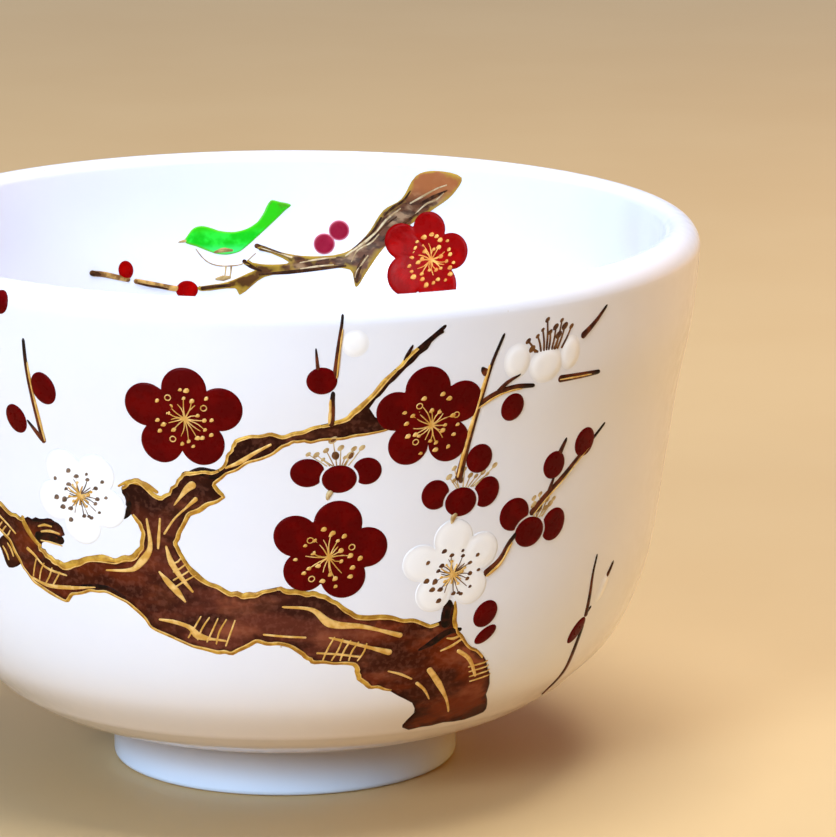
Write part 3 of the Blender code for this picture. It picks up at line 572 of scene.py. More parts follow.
class Paint:
    """Raised enamel or gold: closed little bodies on one wall, joined into one piece."""

    def __init__(self, under=over_glaze, inside=False):
        self.under = under
        self.inside = inside
        self.points, self.edge, self.along, self.faces = [], [], [], []

    def add(self, places, lifts, faces, edge, along):
        """Adds points at these places, lifts above the glaze, with faces that count from the first of them."""
        first = sum(len(rows) for rows in self.points)
        self.points.append(on_wall(places, lifts, self.inside))
        self.edge.append(np.asarray(edge, float))
        self.along.append(np.asarray(along, float))
        self.faces += [[first + corner for corner in face] for face in faces]

    def sheet(self, places, rises, faces, rim, edge, along=None):
        """A raised layer with this top, closed by a copy of it sunk in the glaze and a skirt round its rim."""
        count = len(places)
        along = np.zeros(count) if along is None else along
        lifts = np.concatenate([self.under(places) + rises, np.full(count, -SINK)])
        below = [[corner + count for corner in face[::-1]] for face in faces]
        skirt = [(a, b, b + count, a + count) for a, b in zip(rim, rim[1:] + rim[:1])]
        self.add(np.vstack([places, places]), lifts, faces + below + skirt, np.tile(edge, 2), np.tile(along, 2))

    def blob(self, place, outline, rise, rings, edge_width=EDGE_WIDTH, profile=None, edge=rounded):
        """A raised shape whose (right, up) outline can all be seen from its place."""
        count = len(outline)
        moves = np.vstack([[0, 0]] + [outline * share for share in rings])
        distance = edge_distance(moves, outline)
        distance[-count:] = 0
        height = rise * edge(distance / edge_width) if profile is None else profile(moves) * (distance > 0)
        faces = [(0, 1 + i, 1 + (i + 1) % count) for i in range(count)]
        for ring in range(len(rings) - 1):
            low, high = 1 + ring * count, 1 + (ring + 1) * count
            faces += [(low + i, high + i, high + (i + 1) % count, low + (i + 1) % count) for i in range(count)]
        rim = [1 + (len(rings) - 1) * count + i for i in range(count)]
        self.sheet(shift(place, moves, self.inside), height, faces, rim, distance)

    def dot(self, place, size, rise=GOLD_RISE):
        self.blob(place, oval(size / 2, size / 2, 0, 12), rise, (0.55, 0.85, 1.0), edge_width=size / 2)

    def stroke(self, route, widths, rise=GOLD_RISE, share=(0.0, 1.0), step=0.45):
        """A brush stroke along the route. Its width goes through the widths, and its ends are rounded off."""
        centre = smooth(route, 8)
        scale = mm_per_degree(centre[:, 1], self.inside)
        steps = np.hypot(np.diff(centre[:, 0]) * scale[1:], np.diff(centre[:, 1]))
        travelled = np.concatenate([[0], np.cumsum(steps)])
        start, end = travelled[-1] * share[0], travelled[-1] * share[1]
        cap = min(max(widths[0], widths[-1]) / 2, (end - start) / 3)
        middle = np.linspace(start + cap, end - cap, max(3, int((end - start) / step)))
        tips = cap * np.array([0.0, 0.1, 0.35, 0.7])
        stations = np.concatenate([start + tips, middle, end - tips[::-1]])
        centre = np.column_stack([np.interp(stations, travelled, centre[:, k]) for k in (0, 1)])
        place = np.linspace(0, 1, len(widths))
        part = (stations - start) / (end - start)
        half = np.interp(part, place, widths) / 2
        half *= np.maximum(rounded(np.minimum(stations - start, end - stations) / max(cap, 1e-6)), 0.05)
        across = across_curve(centre, self.inside, stations)
        offsets, tops = STROKE_OFFSETS, STROKE_TOPS
        places = centre[:, None, :] + across[:, None, :] * offsets[None, :, None] * half[:, None, None]
        places = places.reshape(-1, 2)
        swell = np.minimum(1, half / (np.max(half) * 0.6))
        lifts = (self.under(places) + rise * np.outer(swell, tops).ravel()).reshape(-1, len(tops))
        sunk = centre[:, None, :] + across[:, None, :] * STROKE_BELOW[None, :, None] * half[:, None, None]
        places = np.concatenate([places.reshape(-1, len(tops), 2), sunk], axis=1).reshape(-1, 2)
        lifts = np.column_stack([lifts, np.full((len(centre), len(STROKE_BELOW)), -SINK)]).ravel()
        ring = len(tops) + len(STROKE_BELOW)
        faces = []
        for i in range(len(centre) - 1):
            for j in range(ring):
                k = (j + 1) % ring
                faces.append((i * ring + j, i * ring + k, (i + 1) * ring + k, (i + 1) * ring + j))
        last = (len(centre) - 1) * ring
        faces += [list(range(ring))[::-1], [last + j for j in range(ring)]]
        edge = np.outer(half, 1 - np.abs(np.append(offsets, STROKE_BELOW))).ravel()
        self.add(places, lifts, faces, edge, np.repeat(part, ring))

    def strokes(self, table, rise=GOLD_RISE):
        """One stroke for each (widths, route) in the table."""
        for widths, route in table:
            self.stroke(route, widths, rise)

    def filled(self, outline, rise, spacing=1.0, rings=EDGE_RINGS):
        """A raised shape of any outline: rings that follow its edge, then a net of faces inside them."""
        flat = flatten(outline, self.inside)
        patch = bmesh.new()
        rows = [flat] + [inward(flat, distance) for distance in rings]
        corners = [[patch.verts.new((x, y, 0)) for x, y in row] for row in rows]
        for outer, inner in zip(corners, corners[1:]):
            for i in range(len(outer)):
                patch.faces.new((outer[i - 1], outer[i], inner[i], inner[i - 1]))
        inner = corners[-1]
        loop = [patch.edges.get((inner[i - 1], inner[i])) for i in range(len(inner))]
        bmesh.ops.triangle_fill(patch, edges=loop, use_beauty=True, normal=(0, 0, 1))
        for axis in (0, 1):
            direction = (1, 0, 0) if axis == 0 else (0, 1, 0)
            for cut in np.arange(flat[:, axis].min() + spacing / 2, flat[:, axis].max(), spacing):
                geometry = patch.verts[:] + patch.edges[:] + patch.faces[:]
                cut_place = tuple(cut * np.array(direction))
                bmesh.ops.bisect_plane(patch, geom=geometry, plane_co=cut_place, plane_no=direction, dist=0.002)
        bmesh.ops.triangulate(patch, faces=patch.faces[:])
        bmesh.ops.recalc_face_normals(patch, faces=patch.faces[:])
        patch.verts.index_update()
        points = np.array([corner.co[:2] for corner in patch.verts])
        faces = [[corner.index for corner in face.verts] for face in patch.faces]
        following = {}
        for face in patch.faces:
            for loop_corner in face.loops:
                if loop_corner.edge.is_boundary:
                    following[loop_corner.vert.index] = loop_corner.link_loop_next.vert.index
        patch.free()
        rim = [next(iter(following))]
        while following[rim[-1]] != rim[0]:
            rim.append(following[rim[-1]])
        distance = edge_distance(points, flat)
        distance[rim] = 0
        places = np.column_stack([points[:, 0] / mm_per_degree(points[:, 1], self.inside), points[:, 1]])
        self.sheet(places, rise * rounded(distance / EDGE_WIDTH), faces, rim, distance)

    def piece(self, name, finish, slot, nodes=()):
        """Makes the object, gives it its material, hangs it from the root and hides the frame's nodes that it stands
        for.
        """
        points = np.vstack(self.points)
        mesh = bpy.data.meshes.new(name)
        mesh.from_pydata(points.tolist(), [], self.faces)
        for label, values in (("edge", self.edge), ("along", self.along)):
            layer = mesh.attributes.new(label, "FLOAT", "POINT")
            layer.data.foreach_set("value", np.concatenate(values).astype(np.float32))
        tidy = bmesh.new()
        tidy.from_mesh(mesh)
        bmesh.ops.recalc_face_normals(tidy, faces=tidy.faces[:])
        tidy.to_mesh(mesh)
        tidy.free()
        return declare(name, mesh, finish, slot, nodes)


def add_object(name, data):
    made = bpy.data.objects.new(name, data)
    bpy.context.scene.collection.objects.link(made)
    return made


def declare(name, mesh, finish, slot, nodes):
    mesh.shade_smooth()
    mesh.materials.append(finish)
    made = add_object(name, mesh)
    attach(made, "root")
    if nodes:
        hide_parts(*nodes)
    return made


def oval(half_width, half_height, tilt, count):
    turn = np.linspace(0, 2 * math.pi, count, endpoint=False)
    right, up = half_width * np.cos(turn), half_height * np.sin(turn)
    lean = math.radians(tilt)
    leant_right = right * math.cos(lean) - up * math.sin(lean)
    return np.column_stack([leant_right, right * math.sin(lean) + up * math.cos(lean)])


def petal_outline(petals, count=180):
    """The outline of round petals over a round heart: the furthest edge in each direction."""
    outline = []
    for direction in np.linspace(0, 2 * math.pi, count, endpoint=False):
        ray = np.array([math.cos(direction), math.sin(direction)])
        reach = 0
        for right, up, radius in petals + [(0, 0, HEART_RADIUS)]:
            along = ray @ (right, up)
            inner = radius**2 - right**2 - up**2 + along**2
            if inner > 0:
                reach = max(reach, along + math.sqrt(inner))
        outline.append(ray * reach)
    return np.array(outline)


def petal_profile(petals, rise, edge_width=EDGE_WIDTH, edge=rounded):
    """How high overlapping petals stand at (right, up) points: each swells, and a valley parts it from the next."""
    def profile(moves):
        height = np.full(len(moves), rise * VALLEY)
        for right, up, radius in petals + [(0, 0, HEART_RADIUS)]:
            depth = radius - np.hypot(moves[:, 0] - right, moves[:, 1] - up)
            crown = 0.8 + 0.2 * np.clip(depth / radius, 0, 1)
            height = np.maximum(height, rise * edge(depth / edge_width) * crown)
        return height
    return profile


def revolved(name, profile, closed):
    """A mesh turned round the axis. An open profile starts and ends on the axis."""
    turns = np.linspace(0, 2 * math.pi, SEGMENTS, endpoint=False)
    rings = profile if closed else profile[1:-1]
    points = [(r * math.sin(t) * MM, -r * math.cos(t) * MM, z * MM) for r, z in rings for t in turns]
    faces = []
    count = len(rings)
    for ring in range(count if closed else count - 1):
        low, high = ring * SEGMENTS, (ring + 1) % count * SEGMENTS
        for i in range(SEGMENTS):
            j = (i + 1) % SEGMENTS
            faces.append((low + i, high + i, high + j, low + j))
    if not closed:
        first, last = len(points), len(points) + 1
        points += [(0, 0, profile[0][1] * MM), (0, 0, profile[-1][1] * MM)]
        end = (count - 1) * SEGMENTS
        for i in range(SEGMENTS):
            j = (i + 1) % SEGMENTS
            faces.append((first, i, j))
            faces.append((last, end + j, end + i))
    mesh = bpy.data.meshes.new(name)
    mesh.from_pydata(points, [], faces)
    return mesh


# ---------------------------------------------------------------- materials

def colour(red, green, blue):
    """A colour picked as 0 to 255 screen values, in the linear values that shaders use."""
    values = [value / 255 for value in (red, green, blue)]
    return tuple(v / 12.92 if v <= 0.04045 else ((v + 0.055) / 1.055)**2.4 for v in values) + (1.0,)


BACKDROP = colour(212, 196, 172)


class Recipe:
    """Shorthand for one node material round a Principled shader."""

    def __init__(self, name, roughness, **settings):
        self.material = bpy.data.materials.new(name)
        self.material.use_nodes = True
        self.tree = self.material.node_tree
        self.shader = self.tree.nodes["Principled BSDF"]
        self.shader.inputs["Roughness"].default_value = roughness
        for socket, value in settings.items():
            self.shader.inputs[socket.replace("_", " ")].default_value = value
        self.place = self.node("TexCoord").outputs["Object"]

    def node(self, kind):
        return self.tree.nodes.new("ShaderNode" + kind)

    def put(self, socket, value):
        if isinstance(value, bpy.types.NodeSocket):
            self.tree.links.new(value, socket)
        else:
            socket.default_value = value

    def noise(self, size_mm, detail=3.0, stretch=(1, 1, 1)):
        """Soft noise with features of this size."""
        scaled = self.node("Mapping")
        scaled.inputs["Scale"].default_value = stretch
        self.put(scaled.inputs["Vector"], self.place)
        made = self.node("TexNoise")
        made.inputs["Scale"].default_value = 1 / (size_mm * MM)
        made.inputs["Detail"].default_value = detail
        self.put(made.inputs["Vector"], scaled.outputs["Vector"])
        return made.outputs["Fac"]

    def cells(self, size_mm):
        """The distance from the middle of the nearest of many scattered cells."""
        made = self.node("TexVoronoi")
        made.inputs["Scale"].default_value = 1 / (size_mm * MM)
        self.put(made.inputs["Vector"], self.place)
        return made.outputs["Distance"]

    def part(self, axis):
        parts = self.node("SeparateXYZ")
        self.put(parts.inputs["Vector"], self.place)
        return parts.outputs[axis]

    def rising(self, low, high, *out):
        """From 0 to 1, or from the first to the second value of out, between two heights in millimetres."""
        return self.between(self.part("Z"), low * MM, high * MM, *out)

    def sideways(self, left, right, *out):
        """The same from left to right."""
        return self.between(self.part("X"), left * MM, right * MM, *out)

    def worn_edge(self, size_mm, *out):
        """From 0 at the edge to 1 inside, over a width that strays between the two values of out, in millimetres."""
        stray = self.between(self.noise(size_mm, 2), 0.3, 0.7, *out)
        return self.divided(self.attribute("edge"), stray)

    def from_edge(self, width):
        return self.between(self.attribute("edge"), 0.0, width)

    def divided(self, first, second):
        made = self.node("Math")
        made.operation = "DIVIDE"
        made.use_clamp = True
        self.put(made.inputs[0], first)
        self.put(made.inputs[1], second)
        return made.outputs["Value"]

    def attribute(self, name):
        made = self.node("Attribute")
        made.attribute_name = name
        return made.outputs["Fac"]

    def between(self, value, low, high, out_low=0.0, out_high=1.0):
        made = self.node("MapRange")
        made.interpolation_type = "SMOOTHSTEP"
        for socket, setting in (("From Min", low), ("From Max", high), ("To Min", out_low), ("To Max", out_high)):
            made.inputs[socket].default_value = setting
        self.put(made.inputs["Value"], value)
        return made.outputs["Result"]

    def mix(self, factor, first, second, mode="MIX"):
        made = self.node("Mix")
        made.data_type = "RGBA"
        made.blend_type = mode
        self.put(made.inputs["Factor"], factor)
        self.put(made.inputs[6], first)
        self.put(made.inputs[7], second)
        return made.outputs[2]

    def base(self, value):
        self.put(self.shader.inputs["Base Color"], value)

    def roughness(self, value):
        self.put(self.shader.inputs["Roughness"], value)

    def clouded_roughness(self, size_mm, low, high):
        self.roughness(self.between(self.noise(size_mm), 0.3, 0.7, low, high))

    def bump(self, height, depth_mm, strength=1.0):
        made = self.node("Bump")
        made.inputs["Strength"].default_value = strength
        made.inputs["Distance"].default_value = depth_mm * MM
        self.put(made.inputs["Height"], height)
        self.put(self.shader.inputs["Normal"], made.outputs["Normal"])


def glaze_material():
    """Clear satin glaze over white clay: cloudy white, with rare pinholes. Creamier low down, which is painted warm
    light bounced up from below; on the foot, bluer at the bottom as a painted cool reflection and greyer at the top
    as painted shadow under the bowl.
    """
    recipe = Recipe("white_glaze", 0.2, IOR=1.5, Coat_Weight=0.1, Coat_Roughness=0.06)
    cloud = recipe.mix(recipe.noise(18), colour(226, 231, 246), colour(233, 238, 251))
    # Painted warm light bounced from below: the glaze turns creamy from 26 mm down to 9 mm
    low = recipe.rising(9, 26)
    body = recipe.mix(low, colour(230, 214, 198), cloud)
    speck = recipe.between(recipe.cells(9), 0.014, 0.026)
    specked = recipe.mix(speck, colour(196, 184, 172), body)
    above_foot = recipe.rising(6.5, 9)
    # Painted light on the foot: a cool blue reflection at its bottom fading up to a grey painted shadow under the
    # bowl at 6 mm
    foot = recipe.mix(recipe.rising(0.5, 6), colour(212, 230, 255), colour(190, 184, 186))
    glazed = recipe.mix(above_foot, foot, specked)
    bare = recipe.rising(0.1, 0.3)
    recipe.base(recipe.mix(bare, colour(214, 190, 158), glazed))
    recipe.clouded_roughness(2.2, 0.17, 0.25)
    recipe.bump(recipe.noise(7, 2, (0.35, 0.35, 1)), 0.05, 0.5)
    return recipe.material


def red_material(name, deep, bright, edge):
    """Thick red or pink enamel: brighter clouds in it, and another tone where it thins at the edge."""
    recipe = Recipe(name, 0.3, IOR=1.5, Specular_IOR_Level=0.05)
    cloud = recipe.between(recipe.noise(2.6, 2), 0.42, 0.72)
    body = recipe.mix(cloud, deep, bright)
    recipe.base(recipe.mix(recipe.from_edge(0.3), edge, body))
    recipe.clouded_roughness(0.8, 0.24, 0.4)
    recipe.bump(recipe.noise(1.4, 2), 0.015, 0.5)
    return recipe.material


def white_material():
    """Opaque white enamel, a little bluer than the glaze."""
    recipe = Recipe("white_enamel", 0.4, IOR=1.5, Specular_IOR_Level=0.3)
    body = recipe.mix(recipe.noise(2.4), colour(242, 246, 255), colour(249, 251, 255))
    recipe.base(recipe.mix(recipe.from_edge(0.8), colour(233, 236, 244), body))
    recipe.clouded_roughness(0.7, 0.34, 0.46)
    recipe.bump(recipe.noise(2.5, 1), 0.02, 0.4)
    return recipe.material


def bark_material():
    """Brown enamel brushed along the trunk: red-brown to the sides, purple in the middle, dark on the limb."""
    recipe = Recipe("bark_enamel", 0.42, IOR=1.5, Specular_IOR_Level=0.06)
    across = recipe.part("X")
    left = recipe.mix(recipe.between(across, -26 * MM, -10 * MM), colour(88, 32, 10), colour(90, 42, 30))
    body = recipe.mix(recipe.between(across, 4 * MM, 20 * MM), left, colour(106, 38, 5))
    body = recipe.mix(recipe.rising(42, 54), body, colour(54, 21, 11))
    glow = recipe.between(recipe.noise(3.0, 4, (0.45, 0.7, 1)), 0.5, 0.72, 0.0, 0.6)
    middle = recipe.between(across, -24 * MM, -6 * MM)
    body = recipe.mix(glow, body, recipe.mix(middle, colour(138, 64, 26), colour(150, 84, 58)))
    wash = recipe.between(recipe.noise(4.2, 4, (0.4, 0.7, 1.1)), 0.4, 0.6)
    body = recipe.mix(wash, recipe.mix(0.75, body, colour(30, 9, 6)), body)
    grain = recipe.between(recipe.noise(0.7, 2), 0.45, 0.65, 0.0, 0.1)
    body = recipe.mix(grain, body, colour(176, 112, 92))
    recipe.base(recipe.mix(recipe.worn_edge(1.8, 0.3, 2.2), colour(36, 10, 5), body))
    recipe.roughness(recipe.between(grain, 0, 0.1, 0.36, 0.5))
    recipe.bump(recipe.noise(0.55, 2), 0.02, 0.5)
    return recipe.material


def twig_material():
    """Brown enamel that darkens to black at the tip."""
    recipe = Recipe("twig_enamel", 0.36, IOR=1.5, Specular_IOR_Level=0.14)
    body = recipe.mix(recipe.between(recipe.noise(1.2), 0.35, 0.65), colour(52, 18, 9), colour(100, 44, 20))
    recipe.base(recipe.mix(recipe.between(recipe.attribute("along"), 0.5, 0.95), body, colour(22, 7, 5)))
    recipe.bump(recipe.noise(0.5, 2), 0.02, 0.5)
    return recipe.material


def stub_material(name, deep, bright):
    """Dark brown of stubs, knots and streaks."""
    recipe = Recipe(name, 0.4, IOR=1.5, Specular_IOR_Level=0.1)
    recipe.base(recipe.mix(recipe.between(recipe.noise(0.9, 3), 0.4, 0.66), deep, bright))
    recipe.bump(recipe.noise(0.5, 2), 0.02, 0.5)
    return recipe.material


def inside_bark_material():
    """The paler branch inside: brown with dark streaks, darker at the thin end, yellow edges, an orange stub."""
    recipe = Recipe("inside_bark_enamel", 0.4, IOR=1.5, Specular_IOR_Level=0.14)
    pale = recipe.between(recipe.noise(1.9, 3, (0.5, 1, 0.8)), 0.48, 0.66)
    body = recipe.mix(pale, colour(92, 54, 30), colour(152, 122, 92))
    streaks = recipe.between(recipe.noise(1.3, 3, (0.45, 1, 1.4)), 0.4, 0.54)
    body = recipe.mix(streaks, recipe.mix(0.7, body, colour(40, 18, 10)), body)
    body = recipe.mix(recipe.sideways(-4, 5, 0.75, 0.0), body, colour(80, 50, 16))
    body = recipe.mix(recipe.rising(71.5, 74.5, 0.0, 0.85), body, colour(166, 98, 52))
    recipe.base(recipe.mix(recipe.worn_edge(2.2, 0.15, 1.3), colour(172, 140, 44), body))
    recipe.bump(recipe.noise(0.6, 2), 0.02, 0.6)
    return recipe.material


def gold_material(name, light, deep):
    """Gold, or a brown with a little gold in it, painted on and lightly burnished, in two cloudy tones."""
    recipe = Recipe(name, 0.45, Metallic=0.25, IOR=1.5, Specular_IOR_Level=0.4)
    wear = recipe.between(recipe.noise(1.3, 3), 0.38, 0.62)
    recipe.base(recipe.mix(wear, light, deep))
    recipe.clouded_roughness(0.35, 0.38, 0.55)
    recipe.bump(recipe.noise(0.5, 2), 0.012, 0.4)
    return recipe.material


def bird_material():
    """Bright green enamel, yellower on the back and olive at the tail."""
    recipe = Recipe("green_enamel", 0.26, IOR=1.5, Specular_IOR_Level=0.14)
    body = recipe.mix(recipe.between(recipe.noise(2.2), 0.35, 0.65), colour(20, 190, 24), colour(44, 228, 60))
    body = recipe.mix(recipe.rising(63.6, 65.4), colour(70, 240, 120), body)
    body = recipe.mix(recipe.rising(66.4, 67.8), body, colour(44, 196, 14))
    tail = recipe.rising(69.4, 71.2)
    body = recipe.mix(recipe.between(recipe.noise(0.9), 0.4, 0.6), body, recipe.mix(tail, body, colour(70, 150, 24)))
    recipe.base(recipe.mix(recipe.from_edge(0.35), colour(96, 186, 40), body))
    recipe.bump(recipe.noise(0.7, 2), 0.015, 0.5)
    return recipe.material


def floor_material():
    """A pale sheet that turns into the evenly lit backdrop far from the bowl."""
    recipe = Recipe("pale_floor", 0.6)
    away = recipe.node("VectorMath")
    away.operation = "LENGTH"
    recipe.put(away.inputs[0], recipe.place)
    far = recipe.node("Emission")
    far.inputs["Color"].default_value = BACKDROP
    blend = recipe.node("MixShader")
    recipe.put(blend.inputs[0], recipe.between(away.outputs["Value"], 0.45, 1.7))
    recipe.put(blend.inputs[1], recipe.shader.outputs["BSDF"])
    recipe.put(blend.inputs[2], far.outputs["Emission"])
    recipe.put(recipe.tree.nodes["Material Output"].inputs["Surface"], blend.outputs["Shader"])
    recipe.base(recipe.mix(recipe.noise(60), colour(196, 167, 119), colour(203, 177, 131)))
    return recipe.material


# ---------------------------------------------------------------- the pieces

def bowl(glaze):
    inner = np.vstack([smooth(FLOOR, 10)[:-1], smooth(INNER_WALL, 12)[:-1], LIP_INNER_ARC[:-1]])
    outer = np.vstack([LIP_OUTER_ARC[:-1], smooth(OUTER_WALL, 12)[::-1][:-1]])
    under = np.vstack([smooth(UNDERSIDE, 6), [(FOOT_RADIUS / 2, BASE_HEIGHT), (0.0, BASE_HEIGHT)]])
    mesh = revolved("bowl_body_glazed", np.vstack([inner, outer, under]), closed=False)
    declare("bowl_body_glazed", mesh, glaze, "white_glaze", ["bowl_body"])


def foot(glaze):
    inner = FOOT_RADIUS - FOOT_WALL
    flare = [(out, BASE_HEIGHT + up) for out, up in FOOT_FLARE]
    outer_side = smooth([(FOOT_RADIUS + out, up) for out, up in flare] + [(FOOT_RADIUS, FOOT_STRAIGHT)], 5)
    inner_side = smooth([(inner, FOOT_STRAIGHT)] + [(inner - out, up) for out, up in flare[::-1]], 5)
    low_out = arc((FOOT_RADIUS - FOOT_ROUNDING, FOOT_ROUNDING), FOOT_ROUNDING, 0, -90, 9)
    low_in = arc((inner + FOOT_ROUNDING, FOOT_ROUNDING), FOOT_ROUNDING, 270, 180, 9)
    mesh = revolved("foot_ring_glazed", np.vstack([outer_side, low_out, low_in, inner_side]), closed=True)
    declare("foot_ring_glazed", mesh, glaze, "white_glaze", ["foot_ring"])


def blossom(name, place, petals, profile, finish, slot, under=over_glaze, inside=False):
    paint = Paint(under, inside)
    paint.blob(place, petal_outline(petals), 0, BLOB_RINGS, profile=profile)
    paint.piece(name + "_enamel", finish, slot, [name])


def half_blossom(name, place, petals, rise, finish, slot):
    """Three separate white petals side by side, the middle one in front."""
    paint = Paint()
    for right, up, radius in petals:
        centre = shift(place, np.array([[right, up]]), False)[0]
        tall = 1.12 if right else 0.88
        shape = oval(radius * (0.85 if right > 0 else 1), radius * tall, 0, 60)
        paint.blob(centre, shape, rise, BLOB_RINGS, WHITE_EDGE, edge=soft)
    paint.piece(name + "_enamel", finish, slot, [name])


def cut_back(outline, place, front, inside):
    """The outline round a place, pulled in until it clears the petal in front of it by a thin gap."""
    front_place, half_width, half_height, _ = front
    side = -1 if inside else 1
    right = side * (front_place[0] - place[0]) * mm_per_degree(place[1], inside)
    shares = np.linspace(0, 1, 121)
    points = outline[:, None, :] * shares[None, :, None] - (right, front_place[1] - place[1])
    reach = np.hypot(points[:, :, 0] / (half_width + PETAL_GAP), points[:, :, 1] / (half_height + PETAL_GAP))
    clear = np.minimum.accumulate(reach > 1, axis=1)
    return outline * shares[clear.sum(1) - 1][:, None]


def buds(table, rise, finish, slot, under=over_glaze, inside=False, edge_width=0.7, edge=rounded):
    """Single petals and buds. The side petals of a nodding flower stay clear of its middle one."""
    for name, (place, half_width, half_height, tilt) in table.items():
        paint = Paint(under, inside)
        outline = oval(half_width, half_height, tilt, 60)
        front = name.rsplit("_", 1)[0] + "_middle"
        if front in table and front != name:
            outline = cut_back(outline, place, table[front], inside)
        paint.blob(place, outline, rise, BLOB_RINGS, edge_width, edge=edge)
        paint.piece(name + "_enamel", finish, slot, [name])


def stamens(paint, place, seed, filaments, reach, thread, heads, dots=0, dot_reach=0, dot_sizes=(0, 0), rings=0):
    """Filaments round a heart, most with an anther, then a ring of loose drops, some of them open rings."""
    draw = random.Random(seed)

    def drop(middle, size):
        """A brush dab that points to the lower left."""
        lean = math.radians(draw.uniform(15, 50))
        dab = np.array([math.cos(lean), math.sin(lean)]) * size * 0.6
        route = shift(place, np.array([middle - dab, middle, middle + dab]), paint.inside)
        paint.stroke(route, [size * 0.35, size * 0.9, size * 0.75])

    for i in range(filaments):
        bearing = math.radians((i + draw.uniform(-0.35, 0.35)) * 360 / filaments)
        length = reach * draw.uniform(0.55, 1.0)
        ray = np.array([math.cos(bearing), math.sin(bearing)])
        bend = np.array([-ray[1], ray[0]]) * draw.uniform(-0.25, 0.25)
        route = [ray * 0.15, ray * length * 0.55 + bend, ray * length]
        paint.stroke(shift(place, np.array(route), paint.inside), [thread * 1.5, thread, thread, thread * 0.8])
        if i % 3 != 2:
            drop(ray * length, draw.uniform(*heads))
    for i in range(dots):
        bearing = math.radians((i + draw.uniform(-0.3, 0.3)) * 360 / dots)
        length = dot_reach * draw.uniform(0.84, 1.1)
        ray = np.array([math.cos(bearing), math.sin(bearing)])
        size = draw.uniform(*dot_sizes)
        if i % 4 == 1 and rings > 0:
            rings -= 1
            circle = oval(0.42, 0.38, 30, 12)
            circle = ray * length * 0.88 + np.vstack([circle, circle[:2]])
            paint.stroke(shift(place, circle, paint.inside), [thread] * 3, step=0.12)
            continue
        drop(ray * length, size)
    paint.dot(place, 0.7)


def twig_pieces(finish, gold):
    lines = Paint()
    for name, (root, tip, route, side, share) in TWIGS.items():
        paint = Paint(over_trunk)
        paint.stroke(route, [root, (root + tip) / 2, tip, tip * 0.75], TRUNK_RISE)
        for owner, width, shoot in SHOOTS:
            if owner == name:
                paint.stroke(shoot, [width, width * 0.8, width * 0.4], TRUNK_RISE)
        paint.piece(name + "_enamel", finish, "brown_enamel", [name])
        if side:
            width = (root + tip) / 2
            curve = smooth(route, 3)
            moved = curve + across_curve(curve, False) * (side * width * (0.5 - share / 2 + 0.08))
            gilt = width * share
            lines.stroke(moved, [gilt * 0.6, gilt, gilt * 1.15, gilt * 0.7, gilt, gilt * 0.5],
                         TRUNK_RISE + GOLD_RISE, (0.02, 0.78))
    lines.piece("twig_gold_lines", gold, "gold_line")


def outline_run(first, last):
    """The stretch of the trunk's ragged outline between two of its corners."""
    start = TRUNK_CORNERS.index(first) * CURVE_STEPS
    end = TRUNK_CORNERS.index(last) * CURVE_STEPS
    return TRUNK_OUTLINE[start:end + 1]


def trunk_pieces(bark, dark, gold, pale):
    paint = Paint()
    paint.filled(TRUNK_OUTLINE, TRUNK_RISE)
    paint.filled(STUB_OUTLINE, TRUNK_RISE, rings=EDGE_RINGS[:2])
    paint.stroke(LIMB_SHOOT, [0.8, 0.6, 0.3], TRUNK_RISE)
    paint.piece("old_trunk_enamel", bark, "brown_enamel", ["old_trunk"])
    knots = Paint(over_trunk)
    knots.strokes(DARK_STROKES, GOLD_RISE / 2)
    knots.piece("trunk_dark_knots", dark, "brown_enamel")

    draw = random.Random(7)
    edges = Paint(over_trunk)
    strokes = Paint(over_trunk)
    for first, last, widest in GOLD_RUNS:
        curve = outline_run(first, last)
        widths = [widest * draw.uniform(0.45, 1.0) for _ in curve[::2]]
        widths[0] = widths[-1] = 0.3
        inwards = across_curve(curve, False)
        edges.stroke(curve + inwards * widest / 4, widths, GOLD_RISE)
        wide = np.interp(np.linspace(0, 1, len(curve)), np.linspace(0, 1, len(widths)), widths)
        inner_edge = curve + inwards * (widest / 4 + wide[:, None] / 2)
        strokes.stroke(inner_edge, [0.14, 0.2, 0.16, 0.22, 0.15], GOLD_RISE * 1.2)
    edges.strokes(GOLD_BRIDGES)
    edges.piece("trunk_gold_edges", gold, "gold_line")

    strokes.strokes(BARK_STROKES)
    for first_top, first_low, last_top, last_low, count in BARK_LADDERS:
        for t in np.linspace(0, 1, count):
            top = np.array(first_top) * (1 - t) + np.array(last_top) * t
            low = np.array(first_low) * (1 - t) + np.array(last_low) * t
            lean = draw.uniform(-0.3, 0.3)
            middle = (top + low) / 2 + (lean, 0)
            strokes.stroke([top, middle, low], [0.2, 0.28, 0.22])
    strokes.piece("trunk_gold_strokes", pale, "gold_line")


def anther(paint, place, size):
    paint.blob(place, oval(size * 0.55, size * 0.36, 40, 16), GOLD_RISE, (0.5, 0.8, 1.0), size / 2)


def nodding_stamens(gold, brown):
    tops = Paint(over_trunk)
    for base, anthers in NODDING_STAMENS:
        for angle, height, size in anthers:
            root = (base[0] + 0.4 * (angle - base[0]), base[1])
            middle = ((root[0] + angle) / 2, (root[1] + height) / 2)
            tops.stroke([root, middle, (angle, height)], [0.18, 0.15, 0.13])
            anther(tops, (angle, height), size * 1.1)
    for route in CALYXES:
        tops.stroke(route, [0.9, 0.75, 0.35], PETAL_RISE + GOLD_RISE)
    tops.piece("nodding_flower_stamens", gold, "gold_line")
    cores = Paint(over_trunk)
    cores.strokes(NODDING_CORES, 2 * GOLD_RISE)
    cores.piece("nodding_flower_cores", brown, "brown_enamel")
    dark = Paint()
    for angle, height, size in WHITE_STAMENS:
        root = (WHITE_FAN[0] + 0.6 * (angle - WHITE_FAN[0]), WHITE_FAN[1])
        middle = ((root[0] + angle) / 2 + 0.1, (root[1] + height) / 2)
        dark.stroke([root, middle, (angle, height)], [0.4, 0.34, 0.28])
        anther(dark, (angle, height), size * 1.45)
    dark.piece("white_half_blossom_stamens", brown, "brown_enamel")


